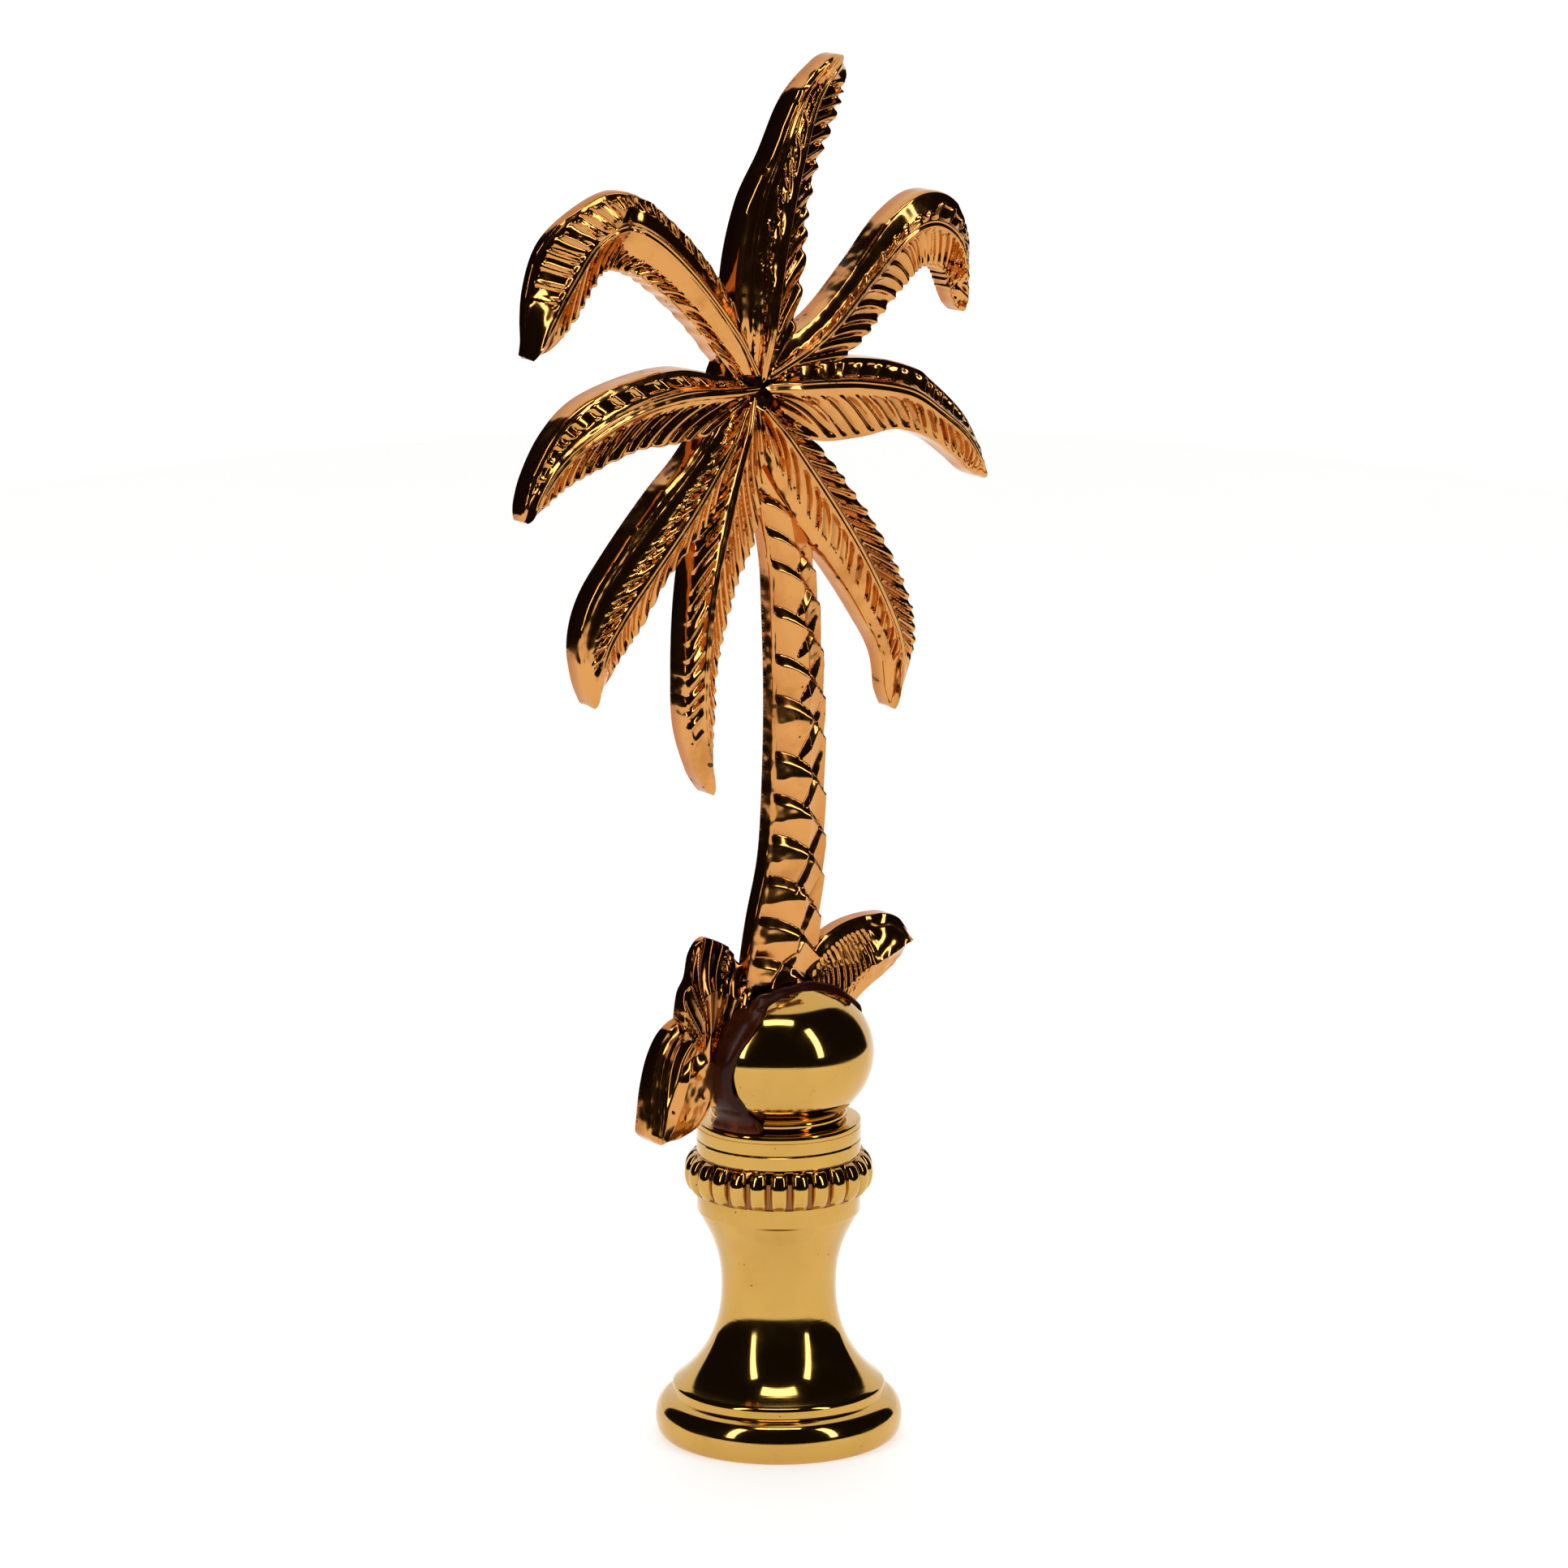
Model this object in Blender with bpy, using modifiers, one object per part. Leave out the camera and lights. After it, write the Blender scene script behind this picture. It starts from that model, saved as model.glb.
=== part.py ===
"""Lamp finial: a cast palm tree glued in the slot of a ball, on a turned foot.

Metres, +Z up. The origin is the centre of the foot's underside. The palm is a
flat-backed casting: its back lies in the X-Z plane and its carved face looks
along -Y. The turned pieces share the Z axis.
"""
from math import asin, cos, pi, radians, sin, sqrt

import bmesh
import bpy
from mathutils import Vector

# Room left between pieces that touch
FIT = 0.00025
# Sides of every turned piece
SIDES = 32

# Turned foot with its tapped hole
FOOT_R = 0.00793
FOOT_SOLE_R = 0.00752
FOOT_H = 0.00275
BELL_R = 0.00682
WAIST_R = 0.00368
WAIST_Z = 0.00975
COLLAR_R = 0.00525
COLLAR_Z = 0.0152
SPOOL_H = 0.0193
HOLE_R = 0.003175
HOLE_DEPTH = 0.0065
HOLE_CHAMFER = 0.0004

# Milled ring round the collar
RING_R = 0.00605
RING_Z = 0.0173
RING_H = 0.0027
RING_LOBES = 26
RING_CUT = 0.0005

# Cap: disc, neck and flattened ball
DISC_H = 0.00125
NECK_R = 0.00405
NECK_H = 0.00087
NECK_STEP = 0.0003
BALL_R = 0.0061
BALL_RISE = 0.00505
BALL_SEAT_R = 0.00444
SLOT_FRONT = 0.0028
SLOT_DROP = 0.00272

# Cast palm: height above its foot, then thicknesses measured from its flat back
PALM_H = 0.0659
FOOT_T = 0.0018
TRUNK_EDGE = 0.00116
TRUNK_RIDGE = 0.00176
FROND_EDGE = 0.00185
FROND_RIDGE = 0.0026
LEAF_CUT = 0.00038

# Glue: how far it stands proud of the ball, and the arcs its run and pool cover
GLUE_PROUD = 0.0005
GLUE_RUN = (58, 69)
GLUE_POOL = (46, 98)
GLUE_END_X = 0.0045

# Levels worked out from the sizes above
CAP_Z = SPOOL_H + FIT
DISC_TOP = CAP_Z + DISC_H
BALL_Z = DISC_TOP + NECK_H + BALL_RISE * sqrt(1 - (BALL_SEAT_R / BALL_R) ** 2)
SLOT_FLOOR = BALL_Z - SLOT_DROP
PALM_FOOT = SLOT_FLOOR + FIT

# The palm is drawn in units with its foot and its top at these two heights
DRAWN_FOOT = 22.7
DRAWN_TOP = 88.6
UNIT = PALM_H / (DRAWN_TOP - DRAWN_FOOT)


def clear_scene():
    for thing in list(bpy.data.objects):
        bpy.data.objects.remove(thing, do_unlink=True)


def new_collection(name):
    group = bpy.data.collections.new(name)
    bpy.context.scene.collection.children.link(group)
    return group


def metal(name, colour, roughness, metallic):
    stuff = bpy.data.materials.new(name)
    stuff.use_nodes = True
    shader = stuff.node_tree.nodes["Principled BSDF"]
    shader.inputs["Base Color"].default_value = (*colour, 1)
    shader.inputs["Roughness"].default_value = roughness
    shader.inputs["Metallic"].default_value = metallic
    return stuff


def add_mesh(name, verts, faces, group):
    mesh = bpy.data.meshes.new(name)
    shape = bmesh.new()
    corners = [shape.verts.new(v) for v in verts]
    for face in faces:
        shape.faces.new([corners[i] for i in face])
    bmesh.ops.triangulate(shape, faces=shape.faces)
    bmesh.ops.recalc_face_normals(shape, faces=shape.faces)
    shape.to_mesh(mesh)
    shape.free()
    thing = bpy.data.objects.new(name, mesh)
    group.objects.link(thing)
    return thing


def loft(name, sections, group, ring=False):
    """Skin equal rings of points into one closed body."""
    count = len(sections[0])
    verts = [p for section in sections for p in section]
    faces = []
    spans = len(sections) if ring else len(sections) - 1
    for i in range(spans):
        here = i * count
        there = (i + 1) % len(sections) * count
        for j in range(count):
            k = (j + 1) % count
            faces.append((here + j, here + k, there + k, there + j))
    if not ring:
        faces.append(tuple(range(count)))
        faces.append(tuple(range(len(verts) - count, len(verts))))
    return add_mesh(name, verts, faces, group)


def turn(name, profile, group):
    """Turn a profile of (radius, height) about Z; it runs down the outer side."""
    mesh = bpy.data.meshes.new(name)
    verts = [(r, 0, z) for r, z in profile]
    mesh.from_pydata(verts, [(i, i + 1) for i in range(len(verts) - 1)], [])
    thing = bpy.data.objects.new(name, mesh)
    group.objects.link(thing)
    screw = thing.modifiers.new("Turned", "SCREW")
    screw.axis = "Z"
    screw.steps = SIDES
    screw.render_steps = SIDES
    screw.use_merge_vertices = True
    screw.merge_threshold = 0.00001
    return thing


def box(name, low, high, group):
    shape = bmesh.new()
    bmesh.ops.create_cube(shape, size=1)
    low, high = Vector(low), Vector(high)
    middle, span = (low + high) / 2, high - low
    for v in shape.verts:
        v.co = middle + Vector([c * s for c, s in zip(v.co, span)])
    mesh = bpy.data.meshes.new(name)
    shape.to_mesh(mesh)
    shape.free()
    thing = bpy.data.objects.new(name, mesh)
    group.objects.link(thing)
    return thing


def as_tool(thing):
    thing.hide_render = True
    thing.display_type = "WIRE"


def boolean(thing, other, operation, solver="EXACT"):
    as_tool(other)
    step = thing.modifiers.new(operation.title() + " " + other.name, "BOOLEAN")
    step.operation = operation
    step.object = other
    step.solver = solver


def finish(thing, stuff, angle=40):
    """Bake the modifiers, shade round surfaces smooth and give the material."""
    bpy.context.view_layer.update()
    graph = bpy.context.evaluated_depsgraph_get()
    baked = bpy.data.meshes.new_from_object(thing.evaluated_get(graph))
    thing.modifiers.clear()
    thing.data = baked
    baked.materials.clear()
    baked.materials.append(stuff)
    baked.shade_smooth()
    baked.set_sharp_from_angle(angle=radians(angle))


def outer_skin(thing):
    """A casting has no sealed voids: keep the widest skin and fill what it holds."""
    shape = bmesh.new()
    shape.from_mesh(thing.data)
    waiting = set(shape.verts)
    skins = []
    while waiting:
        skin = {waiting.pop()}
        edge = list(skin)
        while edge:
            near = {e.other_vert(v) for v in edge for e in v.link_edges} - skin
            skin |= near
            edge = list(near)
        waiting -= skin
        skins.append(skin)
    skins.sort(key=lambda skin: max(v.co.z for v in skin) - min(v.co.z for v in skin))
    for skin in skins[:-1]:
        bmesh.ops.delete(shape, geom=list(skin), context="VERTS")
    shape.to_mesh(thing.data)
    shape.free()


def bezier(a, b, c, d, steps):
    """Points of a cubic, its first end left out."""
    points = []
    for i in range(1, steps + 1):
        t = i / steps
        u = 1 - t
        weights = (u ** 3, 3 * u * u * t, 3 * u * t * t, t ** 3)
        points.append(tuple(sum(w * p[k] for w, p in zip(weights, (a, b, c, d))) for k in (0, 1)))
    return points


def arc(centre, radii, start, end, steps):
    """Points on an ellipse from one angle in degrees to another, both ends in."""
    points = []
    for i in range(steps + 1):
        a = radians(start + (end - start) * i / steps)
        points.append((centre[0] + radii[0] * cos(a), centre[1] + radii[1] * sin(a)))
    return points


def through(points, t):
    """A smooth curve through drawn points, with t from 0 to 1 along it."""
    spans = len(points) - 1
    i = min(int(t * spans), spans - 1)
    f = t * spans - i
    p1, p2 = Vector(points[i]), Vector(points[i + 1])
    p0 = Vector(points[i - 1]) if i > 0 else 2 * p1 - p2
    p3 = Vector(points[i + 2]) if i + 2 <= spans else 2 * p2 - p1
    return 0.5 * (2 * p1 + (p2 - p0) * f + (2 * p0 - 5 * p1 + 4 * p2 - p3) * f ** 2
                  + (3 * p1 - p0 - 3 * p2 + p3) * f ** 3)


def placed(drawn, depth):
    """A drawn point at its place on the palm, at a depth in front of the back."""
    return (drawn[0] * UNIT, -depth, PALM_FOOT + (drawn[1] - DRAWN_FOOT) * UNIT)


def relief(name, left, ridge, right, leaves, group, edge=FROND_EDGE, crest=FROND_RIDGE,
           sweep=0.07, cut=LEAF_CUT, notch=0.04, sink=0.0, tip=0.9, plain=0.0):
    """A flat-backed frond lofted between two edges and a ridge.

    Each leaflet is a crest between two valleys that run forward from the ridge.
    The left side is plain over the share of its width that plain gives.
    """
    sections = []
    stations = 2 * leaves + 1
    for i in range(stations):
        t = i / (stations - 1)
        valley = 1 - i % 2 if i < stations - 1 else 0
        fall = 1 - (1 - tip) * t ** 4

        def at(side, share):
            along = t + sweep * share * (1 - t)
            return through(ridge, along).lerp(through(side, along), share)

        def depth(share, carved):
            rise = edge + (crest - edge) * (1 - share) ** 1.3
            return rise * fall - valley * cut * carved

        serration = notch * (1 - 2 * valley)
        half = (placed(at(left, 0.5), depth(0.5, 1 - plain)), placed(at(right, 0.5), depth(0.5, 1)))
        tips = (at(left, 1 + serration * (1 - plain)), at(right, 1 + serration))
        sections.append([
            placed(tips[0], sink),
            placed(tips[0], depth(1, 1 - plain)),
            half[0],
            placed(at(left, 0), depth(0, 0.25)),
            half[1],
            placed(tips[1], depth(1, 1)),
            placed(tips[1], sink),
            placed(at(left, 0), sink),
        ])
    return loft(name, sections, group)


# Drawn outlines of the eight fronds: left or upper edge, ridge, right or lower edge
FRONDS = {
    "top": dict(
        left=[(-4.4, 69.5), (-4.5, 75.0), (-3.4, 79.5), (-1.65, 82.6), (-0.3, 85.3),
              (1.0, 86.9), (3.2, 88.6)],
        ridge=[(-2.6, 68.5), (-1.7, 74.7), (-0.8, 79.1), (0.15, 82.6), (0.9, 85.0),
               (1.9, 86.7), (3.7, 88.4)],
        right=[(-0.6, 68.5), (0.6, 74.2), (1.05, 78.4), (1.8, 81.6), (2.9, 84.0),
               (3.8, 86.1), (4.2, 87.8)],
        leaves=13, plain=0.8),
    "upper_right": dict(
        left=[(-2.9, 70.1), (1.4, 72.2), (4.6, 75.2), (7.3, 78.1), (9.9, 79.5),
              (12.25, 78.95), (13.5, 76.4), (13.45, 72.1)],
        ridge=[(-2.3, 68.7), (2.0, 71.3), (5.4, 74.5), (8.1, 76.9), (10.3, 77.6),
               (12.1, 76.6), (12.9, 74.7), (13.1, 71.7)],
        right=[(-0.5, 67.6), (4.2, 69.8), (6.7, 72.0), (8.6, 73.8), (9.8, 74.7),
               (11.3, 74.5), (12.0, 73.2), (12.75, 71.7)],
        leaves=13, plain=1.0),
    "right": dict(
        left=[(-2.6, 69.5), (1.5, 69.65), (5.6, 69.4), (9.0, 68.6), (11.2, 67.1),
              (13.25, 65.1), (14.6, 62.7), (14.9, 61.3)],
        ridge=[(-2.4, 68.2), (1.8, 68.1), (5.1, 67.8), (8.5, 67.0), (10.9, 65.5),
               (12.9, 63.9), (14.2, 62.1), (14.8, 60.9)],
        right=[(-1.4, 65.6), (1.8, 64.45), (4.9, 64.4), (8.0, 64.6), (10.5, 63.8),
               (12.4, 62.5), (13.6, 61.5), (14.4, 61.0)],
        leaves=13),
    "lower_right": dict(
        left=[(-3.4, 65.4), (-1.15, 61.35), (0.75, 58.7), (2.9, 56.3), (5.2, 53.1),
              (6.85, 50.3), (7.3, 47.3)],
        ridge=[(-2.6, 67.1), (0.4, 63.2), (2.9, 59.8), (4.9, 56.8), (6.7, 53.6),
               (7.9, 50.6), (7.85, 46.7)],
        right=[(-0.8, 67.0), (1.8, 64.25), (4.7, 60.9), (7.1, 57.5), (8.9, 54.0),
               (9.4, 50.9), (8.3, 47.2)],
        leaves=13),
    "lower_middle": dict(
        left=[(-4.6, 67.0), (-6.2, 62.9), (-7.4, 59.5), (-8.1, 55.1), (-8.3, 50.5),
              (-8.1, 46.9), (-6.8, 43.2)],
        ridge=[(-3.2, 67.7), (-4.6, 63.6), (-5.6, 60.0), (-6.6, 56.0), (-7.1, 50.9),
               (-7.0, 47.0), (-6.1, 42.8)],
        right=[(-1.6, 67.0), (-2.4, 62.8), (-2.9, 59.0), (-4.5, 55.4), (-5.7, 51.2),
               (-6.0, 47.0), (-6.0, 43.3)],
        leaves=14),
    "lower_left": dict(
        left=[(-5.2, 67.9), (-7.9, 64.4), (-10.25, 62.1), (-13.2, 58.8), (-15.25, 56.0),
              (-16.0, 53.2), (-15.5, 50.0)],
        ridge=[(-3.6, 67.2), (-6.2, 63.4), (-8.3, 60.6), (-11.0, 57.5), (-13.2, 54.9),
               (-14.6, 52.5), (-14.9, 49.3)],
        right=[(-3.6, 65.6), (-5.1, 61.8), (-7.0, 59.4), (-9.55, 56.8), (-11.3, 54.2),
               (-12.85, 52.3), (-14.7, 49.8)],
        leaves=12),
    "left": dict(
        left=[(-2.6, 69.2), (-5.2, 69.2), (-8.6, 69.85), (-12.2, 69.45), (-15.7, 68.3),
              (-17.9, 66.4), (-19.35, 63.95), (-20.0, 61.7)],
        ridge=[(-2.8, 68.2), (-5.5, 68.3), (-8.9, 68.3), (-12.4, 67.6), (-15.4, 66.3),
               (-17.6, 64.8), (-19.0, 63.0), (-19.7, 61.3)],
        right=[(-3.4, 66.5), (-6.3, 65.6), (-8.9, 65.2), (-11.7, 65.0), (-14.5, 64.1),
               (-16.6, 63.3), (-18.3, 62.2), (-19.5, 61.3)],
        leaves=12),
    "upper_left": dict(
        left=[(-2.7, 70.6), (-5.3, 74.7), (-7.8, 77.8), (-10.55, 80.2), (-12.7, 81.0),
              (-15.35, 80.1), (-17.9, 78.2), (-19.05, 75.4), (-19.3, 72.0)],
        ridge=[(-2.8, 68.9), (-5.3, 72.4), (-8.0, 75.6), (-10.7, 78.0), (-12.9, 78.9),
               (-15.0, 78.0), (-16.5, 76.1), (-17.9, 73.9), (-19.2, 71.2)],
        right=[(-3.4, 67.6), (-5.2, 69.7), (-7.9, 72.8), (-10.8, 75.2), (-12.8, 76.1),
               (-14.1, 76.1), (-15.3, 74.5), (-16.9, 72.5), (-18.7, 71.2)],
        leaves=14),
}

# Drawn outlines of the trunk and of the leaves and grass at its foot
TRUNK = dict(
    left=[(-3.9, 67.0), (-2.6, 62.0), (-1.6, 57.5), (-1.35, 53.9), (-1.2, 48.6),
          (-1.3, 43.4), (-1.65, 38.2), (-2.6, 34.0), (-3.2, 30.2), (-3.3, 26.6)],
    ridge=[(-1.9, 66.4), (-0.6, 61.0), (0.5, 57.0), (1.0, 53.2), (1.4, 48.0),
           (1.4, 42.8), (1.2, 37.5), (0.6, 33.2), (0.2, 29.4), (0.2, 25.8)],
    right=[(-0.6, 67.0), (0.9, 62.0), (1.9, 57.4), (2.5, 53.7), (2.9, 48.5),
           (2.95, 43.2), (2.95, 38.0), (2.6, 33.8), (2.4, 30.0), (2.3, 26.6)])
GRASS = dict(
    left=[(-8.2, 27.0), (-8.1, 28.7), (-7.85, 30.1), (-7.35, 31.0), (-7.0, 32.5), (-6.2, 33.4),
          (-5.2, 33.2), (-4.2, 32.6), (-3.5, 31.5), (-2.4, 30.7), (-1.6, 29.9)],
    ridge=[(-7.4, 26.8), (-7.2, 28.0), (-7.0, 29.0), (-6.8, 29.6), (-6.6, 30.0), (-6.3, 30.2),
           (-5.7, 30.2), (-5.0, 29.9), (-4.4, 29.4), (-3.6, 28.8), (-2.8, 28.0)],
    right=[(-7.0, 26.2), (-6.8, 26.4), (-6.7, 26.4), (-6.6, 26.4), (-6.4, 26.4), (-6.2, 26.3),
           (-5.9, 26.2), (-5.6, 26.1), (-5.3, 26.0), (-5.0, 25.9), (-4.6, 25.8)])
LEFT_LEAF = dict(
    left=[(-7.2, 28.5), (-8.3, 28.4), (-9.4, 27.6), (-10.2, 26.2), (-10.7, 24.4), (-10.95, 22.6),
          (-11.1, 21.2)],
    ridge=[(-6.8, 27.6), (-7.4, 27.0), (-8.0, 26.0), (-8.5, 24.8), (-8.9, 23.4), (-9.4, 21.9),
           (-10.1, 20.8)],
    right=[(-6.2, 27.2), (-6.2, 26.2), (-6.0, 25.3), (-6.0, 24.0), (-6.3, 22.7), (-7.2, 21.5),
           (-9.0, 20.7)])
RIGHT_LEAF = dict(
    left=[(1.2, 30.8), (2.1, 31.9), (3.25, 32.7), (4.7, 33.2), (6.4, 33.4), (7.8, 33.2),
          (8.9, 32.6), (9.5, 31.8)],
    ridge=[(1.8, 28.8), (2.8, 29.8), (3.8, 30.7), (5.1, 31.3), (6.4, 31.5), (7.7, 31.6),
           (8.8, 31.4), (9.4, 31.2)],
    right=[(3.0, 26.0), (4.0, 27.2), (4.8, 27.7), (5.5, 28.3), (6.5, 28.9), (7.8, 29.6),
           (8.8, 30.4), (9.3, 30.9)])


def spool(group, tools, stuff):
    """Foot, bell, waist and collar, with the hole for the lamp's stud below."""
    waist = (WAIST_R, WAIST_Z)
    torus_r = FOOT_R * 0.8
    reach = FOOT_R - torus_r
    torus_z = FOOT_H * 0.33
    sole = -asin(min(1, sqrt(max(0, 1 - ((FOOT_SOLE_R - torus_r) / reach) ** 2))))
    drop = torus_z / -sin(sole)
    profile = [(0, SPOOL_H), (COLLAR_R, SPOOL_H), (COLLAR_R, COLLAR_Z)]
    top_step = (COLLAR_R - 0.00025, COLLAR_Z - 0.0005)
    profile.append(top_step)
    height = COLLAR_Z - WAIST_Z
    profile += bezier(top_step, (COLLAR_R - 0.0011, COLLAR_Z - 0.0018),
                      (WAIST_R, WAIST_Z + 0.46 * height), waist, 5)
    lip = (BELL_R, FOOT_H + 0.0004)
    fall = WAIST_Z - lip[1]
    profile += bezier(waist, (WAIST_R, WAIST_Z - 0.53 * fall),
                      (BELL_R - 0.48 * (BELL_R - WAIST_R), lip[1] + 0.21 * fall), lip, 6)
    profile.append((BELL_R, FOOT_H))
    profile += arc((torus_r, torus_z), (reach, FOOT_H - torus_z), 62, 0, 4)
    profile += arc((torus_r, torus_z), (reach, drop), 0, sole * 180 / pi, 2)[1:]
    profile += [(HOLE_R + HOLE_CHAMFER, 0), (HOLE_R, HOLE_CHAMFER), (HOLE_R, HOLE_DEPTH),
                (0, HOLE_DEPTH + 0.4 * HOLE_R)]
    body = turn("base_spool", profile, group)
    boolean(body, milled_ring(tools), "UNION")
    finish(body, stuff, 32)


def milled_ring(tools):
    """Half-round ring whose outside is cut into upright lobes."""
    inner = COLLAR_R - 0.0004
    bulge = RING_R - inner
    sections = []
    for i in range(3 * RING_LOBES):
        turned = 2 * pi * i / (3 * RING_LOBES)
        reach = bulge - (RING_CUT, 0, 0)[i % 3]
        ring = []
        for r, z in arc((inner, RING_Z), (reach, RING_H / 2), -90, 90, 4):
            ring.append((r * cos(turned), r * sin(turned), z))
        sections.append(ring)
    return loft("milled_ring_shape", sections, tools, ring=True)


def cap(group, tools, stuff):
    """Disc, stepped neck and ball, with a slot sawn across the ball."""
    meet = -180 / pi * (pi / 2 - asin(BALL_SEAT_R / BALL_R))
    profile = [(0, BALL_Z + BALL_RISE)]
    profile += arc((0, BALL_Z), (BALL_R, BALL_RISE), 90, 0, 8)[1:]
    profile += arc((0, BALL_Z), (BALL_R, BALL_RISE), 0, meet, 4)[1:]
    step_top = DISC_TOP + 0.63 * NECK_H
    step_low = DISC_TOP + 0.18 * NECK_H
    profile += [(NECK_R, DISC_TOP + NECK_H), (NECK_R, step_top), (NECK_R + NECK_STEP, step_top),
                (NECK_R + NECK_STEP, step_low), (NECK_R, step_low), (NECK_R, DISC_TOP),
                (COLLAR_R, DISC_TOP), (COLLAR_R, CAP_Z), (0, CAP_Z)]
    body = turn("ball_cap", profile, group)
    slot = box("slot_shape", (-2 * BALL_R, -SLOT_FRONT, SLOT_FLOOR), (2 * BALL_R, FIT, 2 * BALL_Z),
               tools)
    boolean(body, slot, "DIFFERENCE")
    finish(body, stuff, 32)


def palm(group, tools, stuff):
    """Trunk, fronds, foot leaves and grass, cast as one flat-backed piece."""
    tree = relief("palm", leaves=12, group=group, edge=TRUNK_EDGE, crest=TRUNK_RIDGE, cut=0.0002,
                  notch=0.03, tip=1, sweep=-0.02, **TRUNK)
    pieces = []
    for i, (name, frond) in enumerate(FRONDS.items()):
        pieces.append(relief("frond_" + name, group=tools, sink=0.00002 * (i + 1), **frond))
    foot = dict(group=tools, edge=0.8 * FOOT_T, crest=FOOT_T, cut=0.00028, tip=1)
    pieces.append(relief("grass", leaves=10, sink=0.00002, sweep=0, **foot, **GRASS))
    pieces.append(relief("right_leaf", leaves=10, sink=0.00006, sweep=0, **foot, **RIGHT_LEAF))
    foot.update(edge=FOOT_T, crest=1.3 * FOOT_T)
    pieces.append(relief("left_leaf", leaves=6, sink=0.00004, sweep=0, **foot, **LEFT_LEAF))
    low = placed((-6.3, DRAWN_FOOT), 0.8 * FOOT_T)
    high = placed((4.0, 28.2), 0.00008)
    pieces.append(box("tenon", low, high, tools))
    low = placed((-5.4, 64.8), FROND_EDGE)
    high = placed((-1.0, 69.6), 0.0001)
    pieces.append(box("heart", low, high, tools))
    for piece in pieces:
        boolean(tree, piece, "UNION", "MANIFOLD")
    finish(tree, stuff, 25)
    outer_skin(tree)


def glue_radius(z):
    """How far from the axis the ball or the neck reaches at a height."""
    ball = BALL_R * sqrt(max(0, 1 - ((z - BALL_Z) / BALL_RISE) ** 2))
    return max(ball, BALL_SEAT_R)


def glue_strip(name, span, levels, swell, gap, group):
    """Glue over an arc of the ball or neck, with its thickness at each level."""
    steps = max(2, round((span[1] - span[0]) / 8))
    sections = []
    for i in range(steps + 1):
        share = i / steps
        turned = radians(span[0] + (span[1] - span[0]) * share)
        thick = 0.35 + 0.65 * share ** 0.5
        inside = [(glue_radius(z) + gap, z) for z in levels]
        outside = [(r + s * thick, z) for (r, z), s in zip(inside, swell)]
        ring = inside + outside[::-1]
        sections.append([(-r * sin(turned), -r * cos(turned), z) for r, z in ring])
    return loft(name, sections, group)


def adhesive(group, tools, stuff):
    """Old glue: it fills the slot in front of the palm and runs down one side."""
    floor = SLOT_FLOOR + FIT
    front, back = SLOT_FRONT - FIT, FOOT_T + FIT
    body = box("adhesive", (-2 * BALL_R, -front, floor), (GLUE_END_X, -back, 2 * BALL_Z), group)
    shape = bmesh.new()
    bmesh.ops.create_uvsphere(shape, u_segments=SIDES, v_segments=16, radius=1)
    for v in shape.verts:
        v.co.x *= BALL_R + GLUE_PROUD
        v.co.y *= BALL_R + GLUE_PROUD
        v.co.z = BALL_Z + v.co.z * (BALL_RISE + 0.6 * GLUE_PROUD)
    bmesh.ops.triangulate(shape, faces=shape.faces)
    mesh = bpy.data.meshes.new("glue_outline")
    shape.to_mesh(mesh)
    shape.free()
    outline = bpy.data.objects.new("glue_outline", mesh)
    tools.objects.link(outline)
    boolean(body, outline, "INTERSECT", "MANIFOLD")
    base = DISC_TOP + FIT
    top = PALM_FOOT - 0.0005
    levels = [top - 0.0004, top + 0.0004, BALL_Z - 0.0012, BALL_Z + 0.0004, BALL_Z + 0.0022]
    swell = [0.0004, 0.0006, 0.0005, 0.0005, 0.0003]
    run = glue_strip("glue_run", GLUE_RUN, levels, swell, 1.6 * FIT, tools)
    boolean(body, run, "UNION", "MANIFOLD")
    pool = glue_strip("glue_pool", GLUE_POOL, [base, base + 0.0007, top],
                      [0.0005, 0.0006, 0.0005], FIT, tools)
    boolean(body, pool, "UNION", "MANIFOLD")
    finish(body, stuff, 40)


def build():
    clear_scene()
    group = new_collection("brass finial")
    tools = new_collection("shaping tools")
    yellow = metal("turned yellow brass", (0.68, 0.46, 0.17), 0.16, 1)
    red = metal("cast red brass", (0.72, 0.40, 0.20), 0.2, 1)
    brown = metal("brown glue", (0.07, 0.02, 0.01), 0.15, 0)
    spool(group, tools, yellow)
    cap(group, tools, yellow)
    palm(group, tools, red)
    adhesive(group, tools, brown)


build()
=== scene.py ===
"""Lamp finial: a cast brass palm tree glued in the slot of a ball, on a turned foot.

Metres, +Z up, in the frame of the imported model. Drawn points of the palm are in
millimetres: across from the axis, and above the ground.
"""
from math import cos, exp, pi, radians, sin, sqrt

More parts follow.
